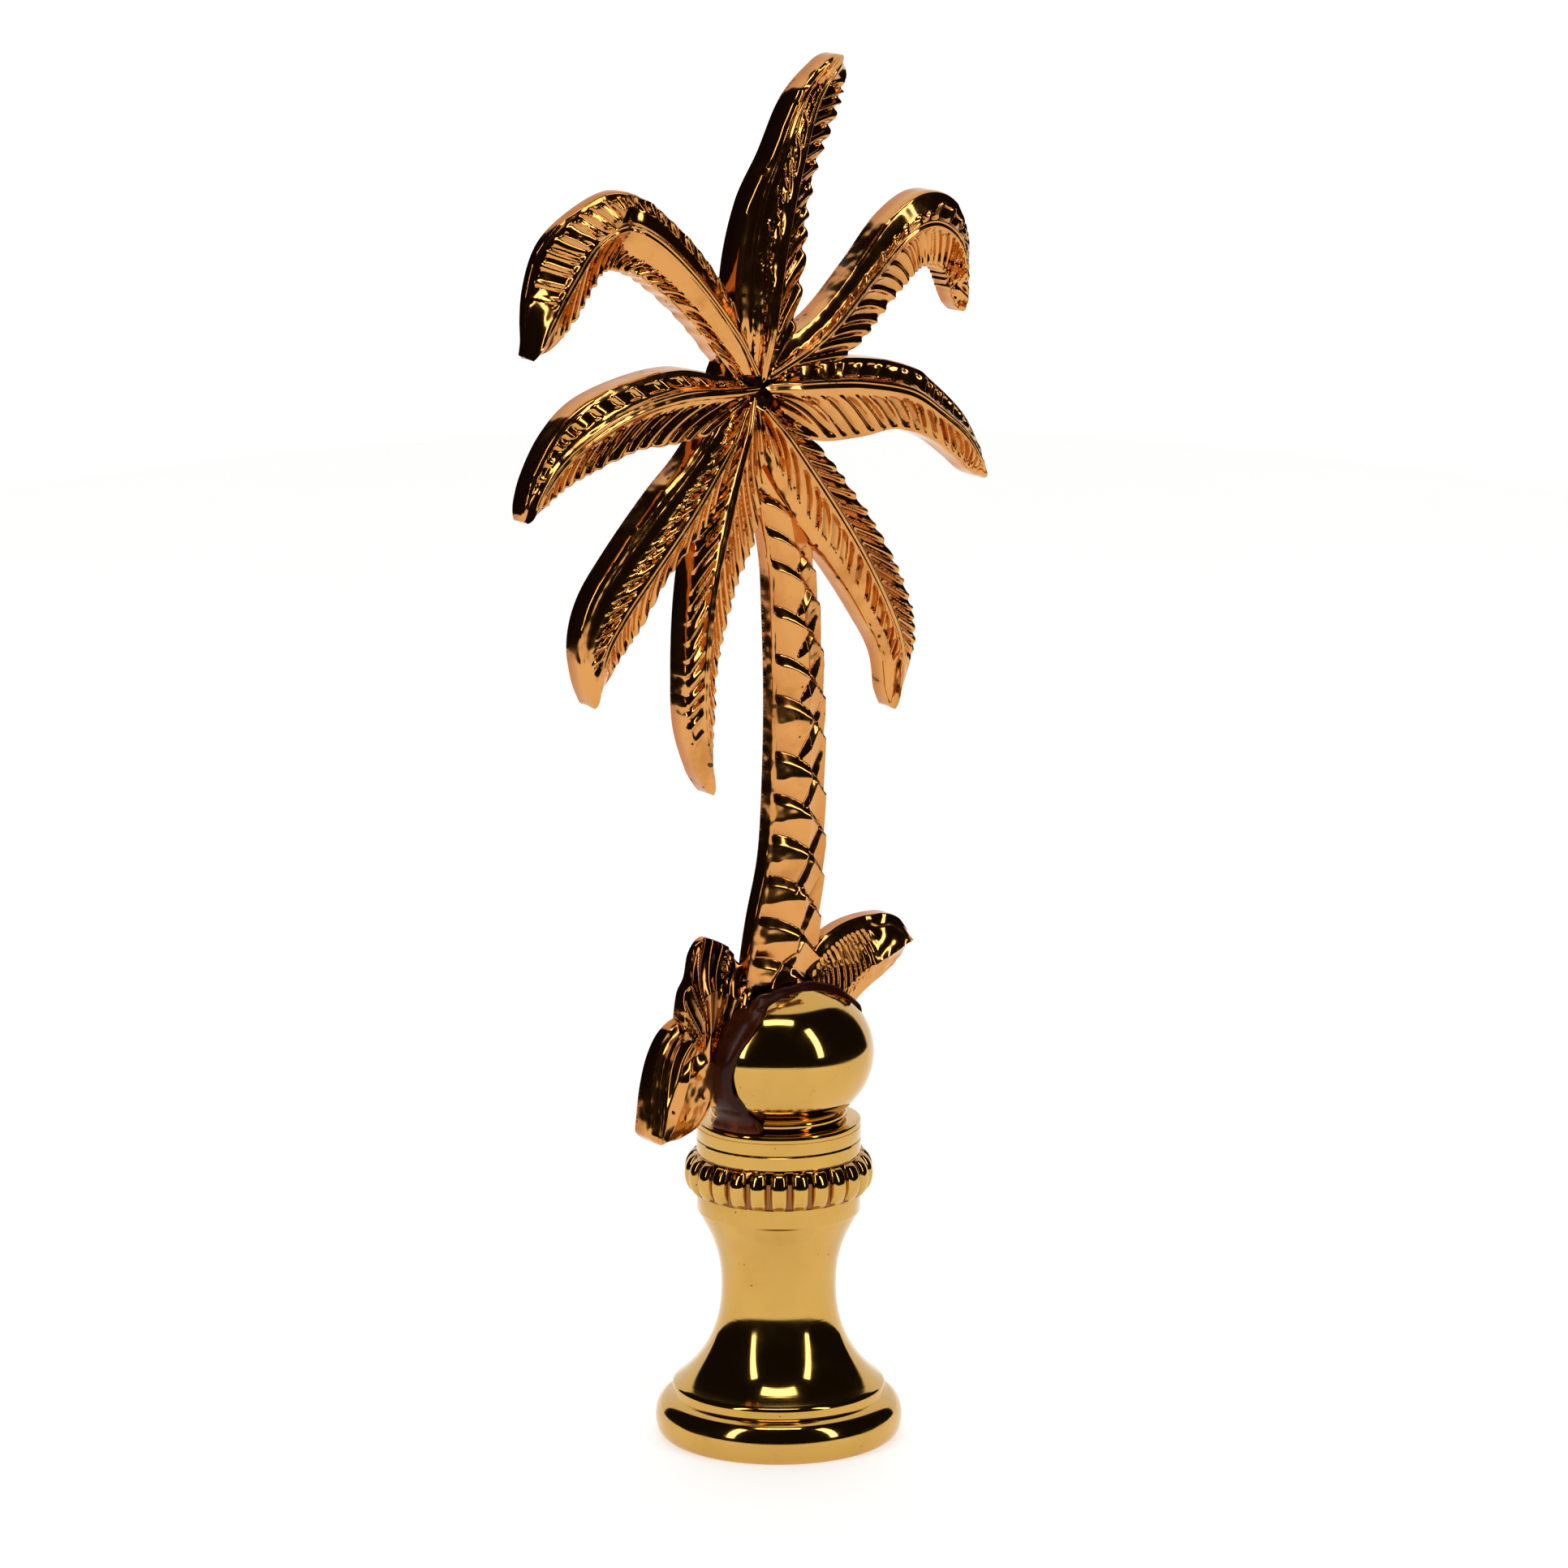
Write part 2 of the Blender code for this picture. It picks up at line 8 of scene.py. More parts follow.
import bmesh
import bpy
import numpy as np
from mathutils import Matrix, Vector


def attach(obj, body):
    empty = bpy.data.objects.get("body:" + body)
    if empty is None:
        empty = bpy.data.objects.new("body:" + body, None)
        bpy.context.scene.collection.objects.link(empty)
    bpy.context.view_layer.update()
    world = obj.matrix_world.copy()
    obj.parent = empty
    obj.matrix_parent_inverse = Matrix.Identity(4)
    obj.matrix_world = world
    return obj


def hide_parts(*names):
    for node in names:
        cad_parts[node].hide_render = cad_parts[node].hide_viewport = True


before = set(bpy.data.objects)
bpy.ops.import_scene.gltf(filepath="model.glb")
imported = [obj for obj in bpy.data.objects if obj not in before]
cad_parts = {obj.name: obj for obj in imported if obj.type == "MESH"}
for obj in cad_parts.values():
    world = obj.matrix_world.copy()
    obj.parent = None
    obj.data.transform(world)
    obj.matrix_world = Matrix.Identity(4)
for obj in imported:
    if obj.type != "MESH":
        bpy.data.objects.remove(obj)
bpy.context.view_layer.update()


# Camera, floor and light
# The finial stands on a white table with a white sheet behind it, and what it
# mirrors from the front is dark. Two upright lamps stand beside the camera, and
# one short lamp hangs over it.
VIEW = radians(-35)
DOWN = radians(12)
SENSOR = 36
PHOTO_SIDE = 1932
FOCAL_LENGTH_IN_PIXELS = 8000
camera = bpy.data.objects.new("camera", bpy.data.cameras.new("camera"))
camera.data.sensor_width = SENSOR
camera.data.lens = FOCAL_LENGTH_IN_PIXELS / PHOTO_SIDE * SENSOR
camera.data.clip_start = 0.01
camera.data.clip_end = 20
camera.location = (-0.22970, -0.32864, 0.12773)
camera.rotation_euler = (pi / 2 - DOWN, 0, VIEW)
bpy.context.scene.collection.objects.link(camera)
bpy.context.scene.camera = camera
bpy.context.scene.view_settings.view_transform = "Standard"


def add_nodes(tree, *kinds):
    return [tree.nodes.new(kind) for kind in kinds]


def math_node(tree, operation, a, b=None):
    node = tree.nodes.new("ShaderNodeMath")
    node.operation = operation
    for socket, value in zip(node.inputs, (a, b)):
        if isinstance(value, (int, float)):
            socket.default_value = value
        elif value is not None:
            tree.links.new(value, socket)
    return node.outputs[0]


LAMP_DISTANCE = 0.7
LAMP_RADIANCE = 5
LAMP_AIM = Vector((0, 0, 0.03))


def lamp(name, turn, rise, width, height):
    """A soft box round the finial, turned from the camera's side and raised, in degrees."""
    light = bpy.data.lights.new(name, "AREA")
    light.shape = "RECTANGLE"
    light.size = width
    light.size_y = height
    light.energy = LAMP_RADIANCE * pi * width * height
    light.color = (1, 0.97, 0.92)
    thing = bpy.data.objects.new(name, light)
    a = VIEW + radians(turn)
    e = radians(rise)
    thing.location = Vector((sin(a) * cos(e), -cos(a) * cos(e), sin(e))) * LAMP_DISTANCE + LAMP_AIM
    aim = LAMP_AIM - thing.location
    thing.rotation_euler = aim.to_track_quat("-Z", "Y").to_euler()
    thing.visible_camera = False
    bpy.context.scene.collection.objects.link(thing)


lamp("left lamp", -46, 31, 0.09, 0.56)
lamp("right lamp", 53, 30, 0.09, 0.56)
lamp("top lamp", 0, 71, 0.36, 0.09)

world = bpy.data.worlds.new("white sweep")
bpy.context.scene.world = world
world.use_nodes = True
tree = world.node_tree
tree.nodes.clear()
place, apart, path, dark, pale, seen, mix, mix_seen, edge, out = add_nodes(
    tree, "ShaderNodeTexCoord", "ShaderNodeSeparateXYZ", "ShaderNodeLightPath",
    "ShaderNodeBackground", "ShaderNodeBackground", "ShaderNodeBackground", "ShaderNodeMixShader",
    "ShaderNodeMixShader", "ShaderNodeMapRange", "ShaderNodeOutputWorld")
seen.inputs["Color"].default_value = (1.1, 1.1, 1.1, 1)
dark.inputs["Color"].default_value = (0.009, 0.007, 0.005, 1)
pale.inputs["Color"].default_value = (1, 1, 1, 1)
pale.inputs["Strength"].default_value = 0.95
tree.links.new(place.outputs["Generated"], apart.inputs[0])
east, north, up = apart.outputs
behind = math_node(tree, "ADD", math_node(tree, "MULTIPLY", east, -sin(VIEW)),
                   math_node(tree, "MULTIPLY", north, cos(VIEW)))
lift = math_node(tree, "POWER", math_node(tree, "MAXIMUM", up, 0), 3)
reach = math_node(tree, "ADD", behind, math_node(tree, "MULTIPLY", lift, 0.84))
edge.interpolation_type = "SMOOTHSTEP"
edge.inputs["From Min"].default_value = 0.70
edge.inputs["From Max"].default_value = 0.73
tree.links.new(reach, edge.inputs["Value"])
tree.links.new(edge.outputs["Result"], mix.inputs[0])
tree.links.new(dark.outputs[0], mix.inputs[1])
tree.links.new(pale.outputs[0], mix.inputs[2])
tree.links.new(path.outputs["Is Camera Ray"], mix_seen.inputs[0])
tree.links.new(mix.outputs[0], mix_seen.inputs[1])
tree.links.new(seen.outputs[0], mix_seen.inputs[2])
tree.links.new(mix_seen.outputs[0], out.inputs["Surface"])


def new_material(name):
    stuff = bpy.data.materials.new(name)
    stuff.use_nodes = True
    return stuff, stuff.node_tree, stuff.node_tree.nodes["Principled BSDF"]


def thing_from(name, verts, faces, stuff, smooth_angle=None):
    """A mesh object at the origin, with its faces turned outwards."""
    mesh = bpy.data.meshes.new(name)
    mesh.from_pydata([tuple(v) for v in verts], [], faces)
    shape = bmesh.new()
    shape.from_mesh(mesh)
    bmesh.ops.recalc_face_normals(shape, faces=shape.faces)
    shape.to_mesh(mesh)
    shape.free()
    mesh.materials.append(stuff)
    if smooth_angle:
        mesh.shade_smooth()
        mesh.set_sharp_from_angle(angle=radians(smooth_angle))
    thing = bpy.data.objects.new(name, mesh)
    bpy.context.scene.collection.objects.link(thing)
    return thing


TABLE_AHEAD, TABLE_ASIDE = 0.42, 0.2
TABLE_TOP = -0.00005
white_table, tree, shader = new_material("white table")
shader.inputs["Roughness"].default_value = 0.7
shader.inputs["Emission Color"].default_value = (1, 1, 1, 1)
shader.inputs["Emission Strength"].default_value = 0.58
place, noise, ramp = add_nodes(tree, "ShaderNodeTexCoord", "ShaderNodeTexNoise", "ShaderNodeMapRange")
noise.inputs["Scale"].default_value = 30
ramp.inputs["To Min"].default_value = 0.86
ramp.inputs["To Max"].default_value = 0.9
tree.links.new(place.outputs["Object"], noise.inputs["Vector"])
tree.links.new(noise.outputs[0], ramp.inputs["Value"])
tree.links.new(ramp.outputs[0], shader.inputs["Base Color"])
ring = []
for i in range(96):
    ahead, aside = TABLE_AHEAD * cos(i * pi / 48), TABLE_ASIDE * sin(i * pi / 48)
    ring.append((ahead * sin(VIEW) + aside * cos(VIEW), -ahead * cos(VIEW) + aside * sin(VIEW), TABLE_TOP))
table = thing_from("table", ring, [tuple(range(96))], white_table)


# Foot
# One turning of yellow brass: a flared bell on a rounded foot, a waist and a
# collar. A hole tapped for the lamp's stud comes up from its underside.
def tarnish_group():
    """Blotches and small pits, as masks that change over the surface."""
    group = bpy.data.node_groups.new("tarnish", "ShaderNodeTree")
    face = group.interface
    face.new_socket("Vector", in_out="INPUT", socket_type="NodeSocketVector")
    for name, value in (("Blotch scale", 200.0), ("Pit scale", 900.0), ("Pit size", 0.1)):
        face.new_socket(name, in_out="INPUT", socket_type="NodeSocketFloat").default_value = value
    face.new_socket("Blotches", in_out="OUTPUT", socket_type="NodeSocketFloat")
    face.new_socket("Pits", in_out="OUTPUT", socket_type="NodeSocketFloat")
    start, end, noise, cells, where = add_nodes(
        group, "NodeGroupInput", "NodeGroupOutput", "ShaderNodeTexNoise", "ShaderNodeTexVoronoi",
        "ShaderNodeTexNoise")
    noise.inputs["Detail"].default_value = 6
    noise.inputs["Roughness"].default_value = 0.62
    where.inputs["Detail"].default_value = 1
    link = group.links.new
    for node, scale in ((noise, "Blotch scale"), (cells, "Pit scale"), (where, "Blotch scale")):
        link(start.outputs["Vector"], node.inputs["Vector"])
        link(start.outputs[scale], node.inputs["Scale"])
    blotch = group.nodes.new("ShaderNodeMapRange")
    blotch.interpolation_type = "SMOOTHSTEP"
    blotch.inputs["From Min"].default_value = 0.45
    blotch.inputs["From Max"].default_value = 0.75
    link(noise.outputs[0], blotch.inputs["Value"])
    link(blotch.outputs[0], end.inputs["Blotches"])
    few = math_node(group, "MULTIPLY", start.outputs["Pit size"],
                    math_node(group, "SUBTRACT", where.outputs[0], 0.42))
    near = math_node(group, "SUBTRACT", math_node(group, "MULTIPLY", few, 8), cells.outputs["Distance"])
    pit = group.nodes.new("ShaderNodeMapRange")
    pit.inputs["From Max"].default_value = 0.05
    link(near, pit.inputs["Value"])
    link(pit.outputs[0], end.inputs["Pits"])
    return group


TARNISH = tarnish_group()


def place_group(tree, group, **values):
    node = tree.nodes.new("ShaderNodeGroup")
    node.node_tree = group
    for name, value in values.items():
        node.inputs[name.replace("_", " ")].default_value = value
    place = tree.nodes.new("ShaderNodeTexCoord")
    tree.links.new(place.outputs["Object"], node.inputs["Vector"])
    return node


def blend(tree, share, a, b):
    """Mix two colours; each is a socket or four numbers."""
    node = tree.nodes.new("ShaderNodeMix")
    node.data_type = "RGBA"
    for socket, value in ((node.inputs[0], share), (node.inputs[6], a), (node.inputs[7], b)):
        if isinstance(value, (int, float, tuple)):
            socket.default_value = value
        else:
            tree.links.new(value, socket)
    return node.outputs[2]


def turned_brass(name, bright, dull):
    """Polished yellow brass with faint lathe lines, hazy patches and small dark pits."""
    stuff, tree, shader = new_material(name)
    shader.inputs["Metallic"].default_value = 1
    marks = place_group(tree, TARNISH, Blotch_scale=260.0, Pit_scale=1700.0, Pit_size=0.06)
    haze = blend(tree, math_node(tree, "MULTIPLY", marks.outputs["Blotches"], 0.5), bright, dull)
    hollow = tree.nodes.new("ShaderNodeAttribute")
    hollow.attribute_name = "recess"
    haze = blend(tree, hollow.outputs["Fac"], haze, (0.26, 0.11, 0.035, 1))
    colour = blend(tree, marks.outputs["Pits"], haze, (0.10, 0.05, 0.015, 1))
    tree.links.new(colour, shader.inputs["Base Color"])
    rough = math_node(tree, "ADD", 0.07, math_node(tree, "MULTIPLY", marks.outputs["Blotches"], 0.09))
    tree.links.new(rough, shader.inputs["Roughness"])
    place, apart, lines, bump = add_nodes(tree, "ShaderNodeTexCoord", "ShaderNodeSeparateXYZ",
                                          "ShaderNodeTexNoise", "ShaderNodeBump")
    lines.noise_dimensions = "1D"
    lines.inputs["Scale"].default_value = 9000
    lines.inputs["Detail"].default_value = 3
    bump.inputs["Strength"].default_value = 0.05
    bump.inputs["Distance"].default_value = 0.00002
    tree.links.new(place.outputs["Object"], apart.inputs[0])
    tree.links.new(apart.outputs[2], lines.inputs["W"])
    tree.links.new(lines.outputs[0], bump.inputs["Height"])
    tree.links.new(bump.outputs[0], shader.inputs["Normal"])
    return stuff


YELLOW = turned_brass("turned yellow brass", (0.62, 0.365, 0.09, 1), (0.53, 0.29, 0.06, 1))


def cubic(a, b, c, d, steps):
    """Points on a cubic from a to d, with a left out."""
    t = np.linspace(0, 1, steps + 1)[1:, None]
    return list(a * (1 - t) ** 3 + 3 * b * t * (1 - t) ** 2 + 3 * c * t * t * (1 - t) + d * t ** 3)


def quarter(centre, radii, start, end, steps):
    """Points on an ellipse between two angles in degrees, both ends in."""
    a = np.radians(np.linspace(start, end, steps + 1))
    return list(np.stack([centre[0] + radii[0] * np.cos(a), centre[1] + radii[1] * np.sin(a)], 1))


def lathe(name, profile, stuff, sides=160, smooth_angle=28):
    """Turn a profile of (radius, height) in millimetres about Z; poles are single points."""
    profile = [np.array(p, float) / 1000 for p in profile]
    verts, rows = [], []
    for r, z in profile:
        if r < 1e-7:
            rows.append([len(verts)] * sides)
            verts.append((0, 0, z))
        else:
            rows.append(list(range(len(verts), len(verts) + sides)))
            verts += [(r * cos(2 * pi * i / sides), r * sin(2 * pi * i / sides), z) for i in range(sides)]
    faces = []
    for low, high in zip(rows, rows[1:]):
        for i in range(sides):
            j = (i + 1) % sides
            corners = [low[i], low[j], high[j], high[i]]
            faces.append(tuple(dict.fromkeys(corners)))
    return thing_from(name, verts, faces, stuff, smooth_angle)


def point(*numbers):
    return np.array(numbers, float)


# radii and heights of the turning, in millimetres
FOOT_R, FOOT_WIDEST_Z = 7.93, 1.12
BELL_R, BELL_Z = 6.83, 3.12
WAIST_R, WAIST_Z = 3.68, 9.75
COLLAR_R, COLLAR_TOP = 5.25, 19.48
RING_R, RING_Z, RING_RISE = 5.2, 17.3, 1.3
HOLE_R, HOLE_DEPTH = 3.175, 6.5
profile = [point(0, COLLAR_TOP), point(COLLAR_R - 0.06, COLLAR_TOP)]
profile += [point(COLLAR_R, COLLAR_TOP - 0.06), point(COLLAR_R, 18.62)]
profile += quarter((RING_R, RING_Z), (0.38, RING_RISE), 85, -85, 14)
profile += [point(COLLAR_R, 15.98), point(COLLAR_R - 0.01, 14.86), point(5.21, 14.8), point(5.15, 14.72)]
profile += cubic(profile[-1], point(4.45, 13.4), point(WAIST_R, 12.3), point(WAIST_R, WAIST_Z), 24)
profile += cubic(profile[-1], point(WAIST_R, 6.3), point(5.3, 4.55), point(6.72, 3.42), 30)
profile += cubic(profile[-1], point(6.80, 3.35), point(6.84, 3.25), point(BELL_R, BELL_Z), 4)
profile += [point(6.80, 2.86), point(BELL_R, 2.72), point(6.95, 2.66)]
profile += cubic(profile[-1], point(7.6, 2.5), point(FOOT_R, 1.8), point(FOOT_R, FOOT_WIDEST_Z), 12)
profile += cubic(profile[-1], point(FOOT_R, 0.6), point(7.8, 0.2), point(7.52, 0.0), 8)
profile += [point(3.6, 0), point(HOLE_R, 0.4), point(HOLE_R, HOLE_DEPTH), point(0, HOLE_DEPTH + 1.2)]
foot = lathe("foot_turning", profile, YELLOW)
darkening = foot.data.attributes.new("recess", "FLOAT", "POINT")
for v, mark in zip(foot.data.vertices, darkening.data):
    beside_ring = abs(v.co.z * 1000 - RING_Z) < RING_RISE - 0.02
    mark.value = float(beside_ring and v.co.xy.length > 0.005)


THREAD_CREST_R, THREAD_PITCH = 2.78, 0.94
THREAD_LOW, THREAD_HIGH = 1.0, 6.0


def thread_ridge(name, wall, crest, pitch, low, high, stuff):
    """A ridge that winds up the wall of a round hole and fades out at both ends."""
    per_turn, fade = 48, 24
    steps = int((high - low) / pitch * per_turn)
    verts, faces = [], [(3, 2, 1, 0), tuple(4 * steps + k for k in range(4))]
    for i in range(steps + 1):
        a, z = 2 * pi * i / per_turn, low + pitch * i / per_turn
        top = wall - (wall - crest) * min(1, i / fade, (steps - i) / fade)
        for r, up in ((wall + 0.03, 0.42), (top, 0.07), (top, -0.07), (wall + 0.03, -0.42)):
            verts.append((r * cos(a) / 1000, r * sin(a) / 1000, (z + up * pitch) / 1000))
    for i in range(steps):
        for k in range(4):
            m = (k + 1) % 4
            faces.append((4 * i + k, 4 * i + m, 4 * i + 4 + m, 4 * i + 4 + k))
    return thing_from(name, verts, faces, stuff, 40)


thread = thread_ridge("stud_thread", HOLE_R, THREAD_CREST_R, THREAD_PITCH, THREAD_LOW, THREAD_HIGH, YELLOW)
for thing in (foot, thread):
    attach(thing, "root")
    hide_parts("base_spool")


# Milled ring
# A half-round ring on the collar, cut with upright grooves into 26 round lobes,
# coloured darker brown towards the bottoms of the grooves.
LOBES = 26
LOBE_PROUD, LOBE_ROOT_R, LOBE_SHARE = 0.84, 5.0, 0.84


def lobe_mesh(stuff):
    """One lobe standing on +X, rounded at its sides and at its top and foot."""
    across, rows = 8, 10
    steps = [-1.35 + 2.7 * j / rows for j in range(rows + 1)]
    verts, faces = [], []

    def put(r, a, b):
        angle = a * LOBE_SHARE * pi / LOBES * (0.7 + 0.3 * cos(b))
        verts.append((r * cos(angle) / 1000, r * sin(angle) / 1000, (RING_Z + RING_RISE * sin(b)) / 1000))

    for b in steps:
        for i in range(across + 1):
            a = -1 + 2 * i / across
            side = sqrt(max(0, 1 - abs(a) ** 2.6))
            put(RING_R + (LOBE_PROUD * cos(b) + 0.02) * (0.5 + 0.5 * side), a, b)
    inner = len(verts)
    for b in steps:
        put(LOBE_ROOT_R, -1, b)
        put(LOBE_ROOT_R, 1, b)
    wide = across + 1
    for j in range(rows):
        for i in range(across):
            k = j * wide + i
            faces.append((k, k + 1, k + 1 + wide, k + wide))
        k, m = j * wide, inner + 2 * j
        faces.append((m, k, k + wide, m + 2))
        faces.append((k + across, m + 1, m + 3, k + wide + across))
        faces.append((m + 1, m, m + 2, m + 3))
    faces.append(tuple(range(across, -1, -1)) + (inner, inner + 1))
    top = rows * wide
    faces.append(tuple(range(top, top + wide)) + (inner + 2 * rows + 1, inner + 2 * rows))
    thing = thing_from("lobe", verts, faces, stuff, 50)
    darkening = thing.data.attributes.new("recess", "FLOAT", "POINT")
    for v, mark in zip(thing.data.vertices, darkening.data):
        mark.value = min(1, max(0, 1 - (v.co.xy.length - 0.0053) / 0.0004)) * 0.8
    return thing


def ring_tree():
    """Set copies of one lobe round the Z axis."""
    tree = bpy.data.node_groups.new("ring of lobes", "GeometryNodeTree")
    face = tree.interface
    face.new_socket("Geometry", in_out="INPUT", socket_type="NodeSocketGeometry")
    count = face.new_socket("Lobes", in_out="INPUT", socket_type="NodeSocketInt")
    count.default_value = LOBES
    face.new_socket("Finish", in_out="INPUT", socket_type="NodeSocketMaterial")
    face.new_socket("Geometry", in_out="OUTPUT", socket_type="NodeSocketGeometry")
    start, end, line, place, turn, index, step, axis, real, paint = add_nodes(
        tree, "NodeGroupInput", "NodeGroupOutput", "GeometryNodeMeshLine",
        "GeometryNodeInstanceOnPoints", "ShaderNodeCombineXYZ", "GeometryNodeInputIndex",
        "ShaderNodeMath", "ShaderNodeMath", "GeometryNodeRealizeInstances", "GeometryNodeSetMaterial")
    line.inputs["Offset"].default_value = (0, 0, 0)
    step.operation = "DIVIDE"
    step.inputs[0].default_value = 2 * pi
    axis.operation = "MULTIPLY"
    link = tree.links.new
    link(start.outputs["Lobes"], line.inputs["Count"])
    link(start.outputs["Lobes"], step.inputs[1])
    link(index.outputs[0], axis.inputs[0])
    link(step.outputs[0], axis.inputs[1])
    link(axis.outputs[0], turn.inputs[2])
    link(line.outputs[0], place.inputs["Points"])
    link(start.outputs["Geometry"], place.inputs["Instance"])
    link(turn.outputs[0], place.inputs["Rotation"])
    link(place.outputs[0], real.inputs[0])
    link(real.outputs[0], paint.inputs["Geometry"])
    link(start.outputs["Finish"], paint.inputs["Material"])
    link(paint.outputs[0], end.inputs[0])
    return tree


def made_by(thing, tree, name, **values):
    """Run a geometry tree on a thing and keep the plain mesh that it makes."""
    step = thing.modifiers.new(name, "NODES")
    step.node_group = tree
    for item in tree.interface.items_tree:
        if item.in_out == "INPUT" and item.name in values:
            step[item.identifier] = values[item.name]
    bpy.context.view_layer.update()
    graph = bpy.context.evaluated_depsgraph_get()
    mesh = bpy.data.meshes.new_from_object(thing.evaluated_get(graph))
    thing.modifiers.clear()
    mesh.name = name
    thing.data = mesh
    thing.name = name
    return thing


lobes = made_by(lobe_mesh(YELLOW), ring_tree(), "milled_lobes", Lobes=LOBES, Finish=YELLOW)
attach(lobes, "root")


# Cap
# A second turning: a thin disc with a fine groove, a stepped neck and a
# flattened ball. A slot is sawn across the ball to take the palm.
BALL_Z, BALL_R, BALL_RISE = 25.13, 6.08, 5.05
DISC_R, DISC_TOP, DISC_FOOT = 5.25, 20.8, 19.56
NECK_R, NECK_TOP = 4.36, 21.64
profile = [point(0, BALL_Z + BALL_RISE)]
profile += quarter((0, BALL_Z), (BALL_R, BALL_RISE), 90, -43.2, 72)[1:]
profile += [point(4.3, NECK_TOP), point(4.08, 21.6), point(4.05, 21.52), point(4.12, 21.42)]
profile += [point(4.33, 21.38), point(NECK_R, 21.3), point(NECK_R, 21.06), point(4.33, 20.99)]
profile += [point(4.12, 20.95), point(4.06, 20.88), point(4.12, DISC_TOP), point(5.12, DISC_TOP)]
profile += [point(5.22, 20.76)]
profile += [point(DISC_R, 20.68), point(DISC_R, 20.44), point(5.2, 20.42), point(5.2, 20.36)]
profile += [point(DISC_R, 20.34), point(DISC_R, 19.62), point(5.22, DISC_FOOT), point(0, DISC_FOOT)]
cap = lathe("ball_and_disc", profile, YELLOW)


def cut_box(name, low, high):
    verts = [(x, y, z) for x in (low[0], high[0]) for y in (low[1], high[1]) for z in (low[2], high[2])]
    faces = [(0, 1, 3, 2), (4, 6, 7, 5), (0, 4, 5, 1), (2, 3, 7, 6), (0, 2, 6, 4), (1, 5, 7, 3)]
    return thing_from(name, verts, faces, YELLOW)


def apply_boolean(thing, other, operation, solver="EXACT"):
    """Join another thing to this one, or cut it away, and drop the other."""
    step = thing.modifiers.new(operation, "BOOLEAN")
    step.operation = operation
    step.object = other
    step.solver = solver
    bpy.context.view_layer.update()
    graph = bpy.context.evaluated_depsgraph_get()
    mesh = bpy.data.meshes.new_from_object(thing.evaluated_get(graph))
    thing.modifiers.clear()
    thing.data = mesh
    bpy.data.objects.remove(other)


apply_boolean(cap, cut_box("saw_cut", (-0.02, -0.0028, 0.0224), (0.02, 0.00005, 0.05)), "DIFFERENCE")
cap.data.shade_smooth()
cap.data.set_sharp_from_angle(angle=radians(28))
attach(cap, "root")
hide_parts("ball_cap")


# Palm
# One flat-backed casting of red brass, polished and lacquered. Each frond has a
# midrib with leaflets cut on both sides, and a smooth wall where the mould parted.
def through(points, t):
    """A smooth curve through drawn points, for t from 0 to 1."""
    p = np.array(points, float)
    p = np.vstack([2 * p[0] - p[1], p, 2 * p[-1] - p[-2]])
    spans = len(points) - 1
    at = np.clip(t, -0.05, 1.05) * spans
    i = np.clip(at.astype(int), 0, spans - 1)
    f = (at - i)[..., None]
    a, b, c, d = p[i], p[i + 1], p[i + 2], p[i + 3]
    bow = (2 * a - 5 * b + 4 * c - d) * f ** 2 + (3 * b - a - 3 * c + d) * f ** 3
    return 0.5 * (2 * b + (c - a) * f + bow)


def smooth(x, low, high):
    """0 below low, 1 above high, and an even slope between."""
    x = np.clip((x - low) / (high - low), 0, 1)
    return x * x * (3 - 2 * x)


def leaflets(walked, d, q, along, pitch, reach, band, bend=0.7, late=None, turn=0.5, jag=0.1):
    """Where leaflets stand on one side of a rib, and how far each point is up its leaflet.

    They leave the rib every pitch, lean towards the tip and curve outwards. The band
    is their share of the width, and past the turn the late band takes its place.
    """
    phase = (walked - reach * d ** bend) / pitch
    phase = phase + 0.10 * np.sin(1.9 * phase) + 0.07 * np.sin(5.3 * phase + 1)
    f = (phase % 1) ** 1.8
    up = np.clip(0.5 - 0.5 * np.cos(2 * pi * f), 0, 1) ** (0.884 - 0.336 * q)
    low, high = band
    if late:
        share = smooth(along, turn - 0.04, turn + 0.04)
        low, high = low + (late[0] - low) * share, high + (late[1] - high) * share
    here = smooth(q, low, low + 0.12)
    ends = high - jag * (1 - up)
    here = here * np.where(np.asarray(high) > 0.98, 1, 1 - smooth(q, ends - 0.03, ends + 0.03))
    here = here * smooth(along, -0.03, 0.03) * (1 - smooth(along, 0.83, 0.91))
    return here, up


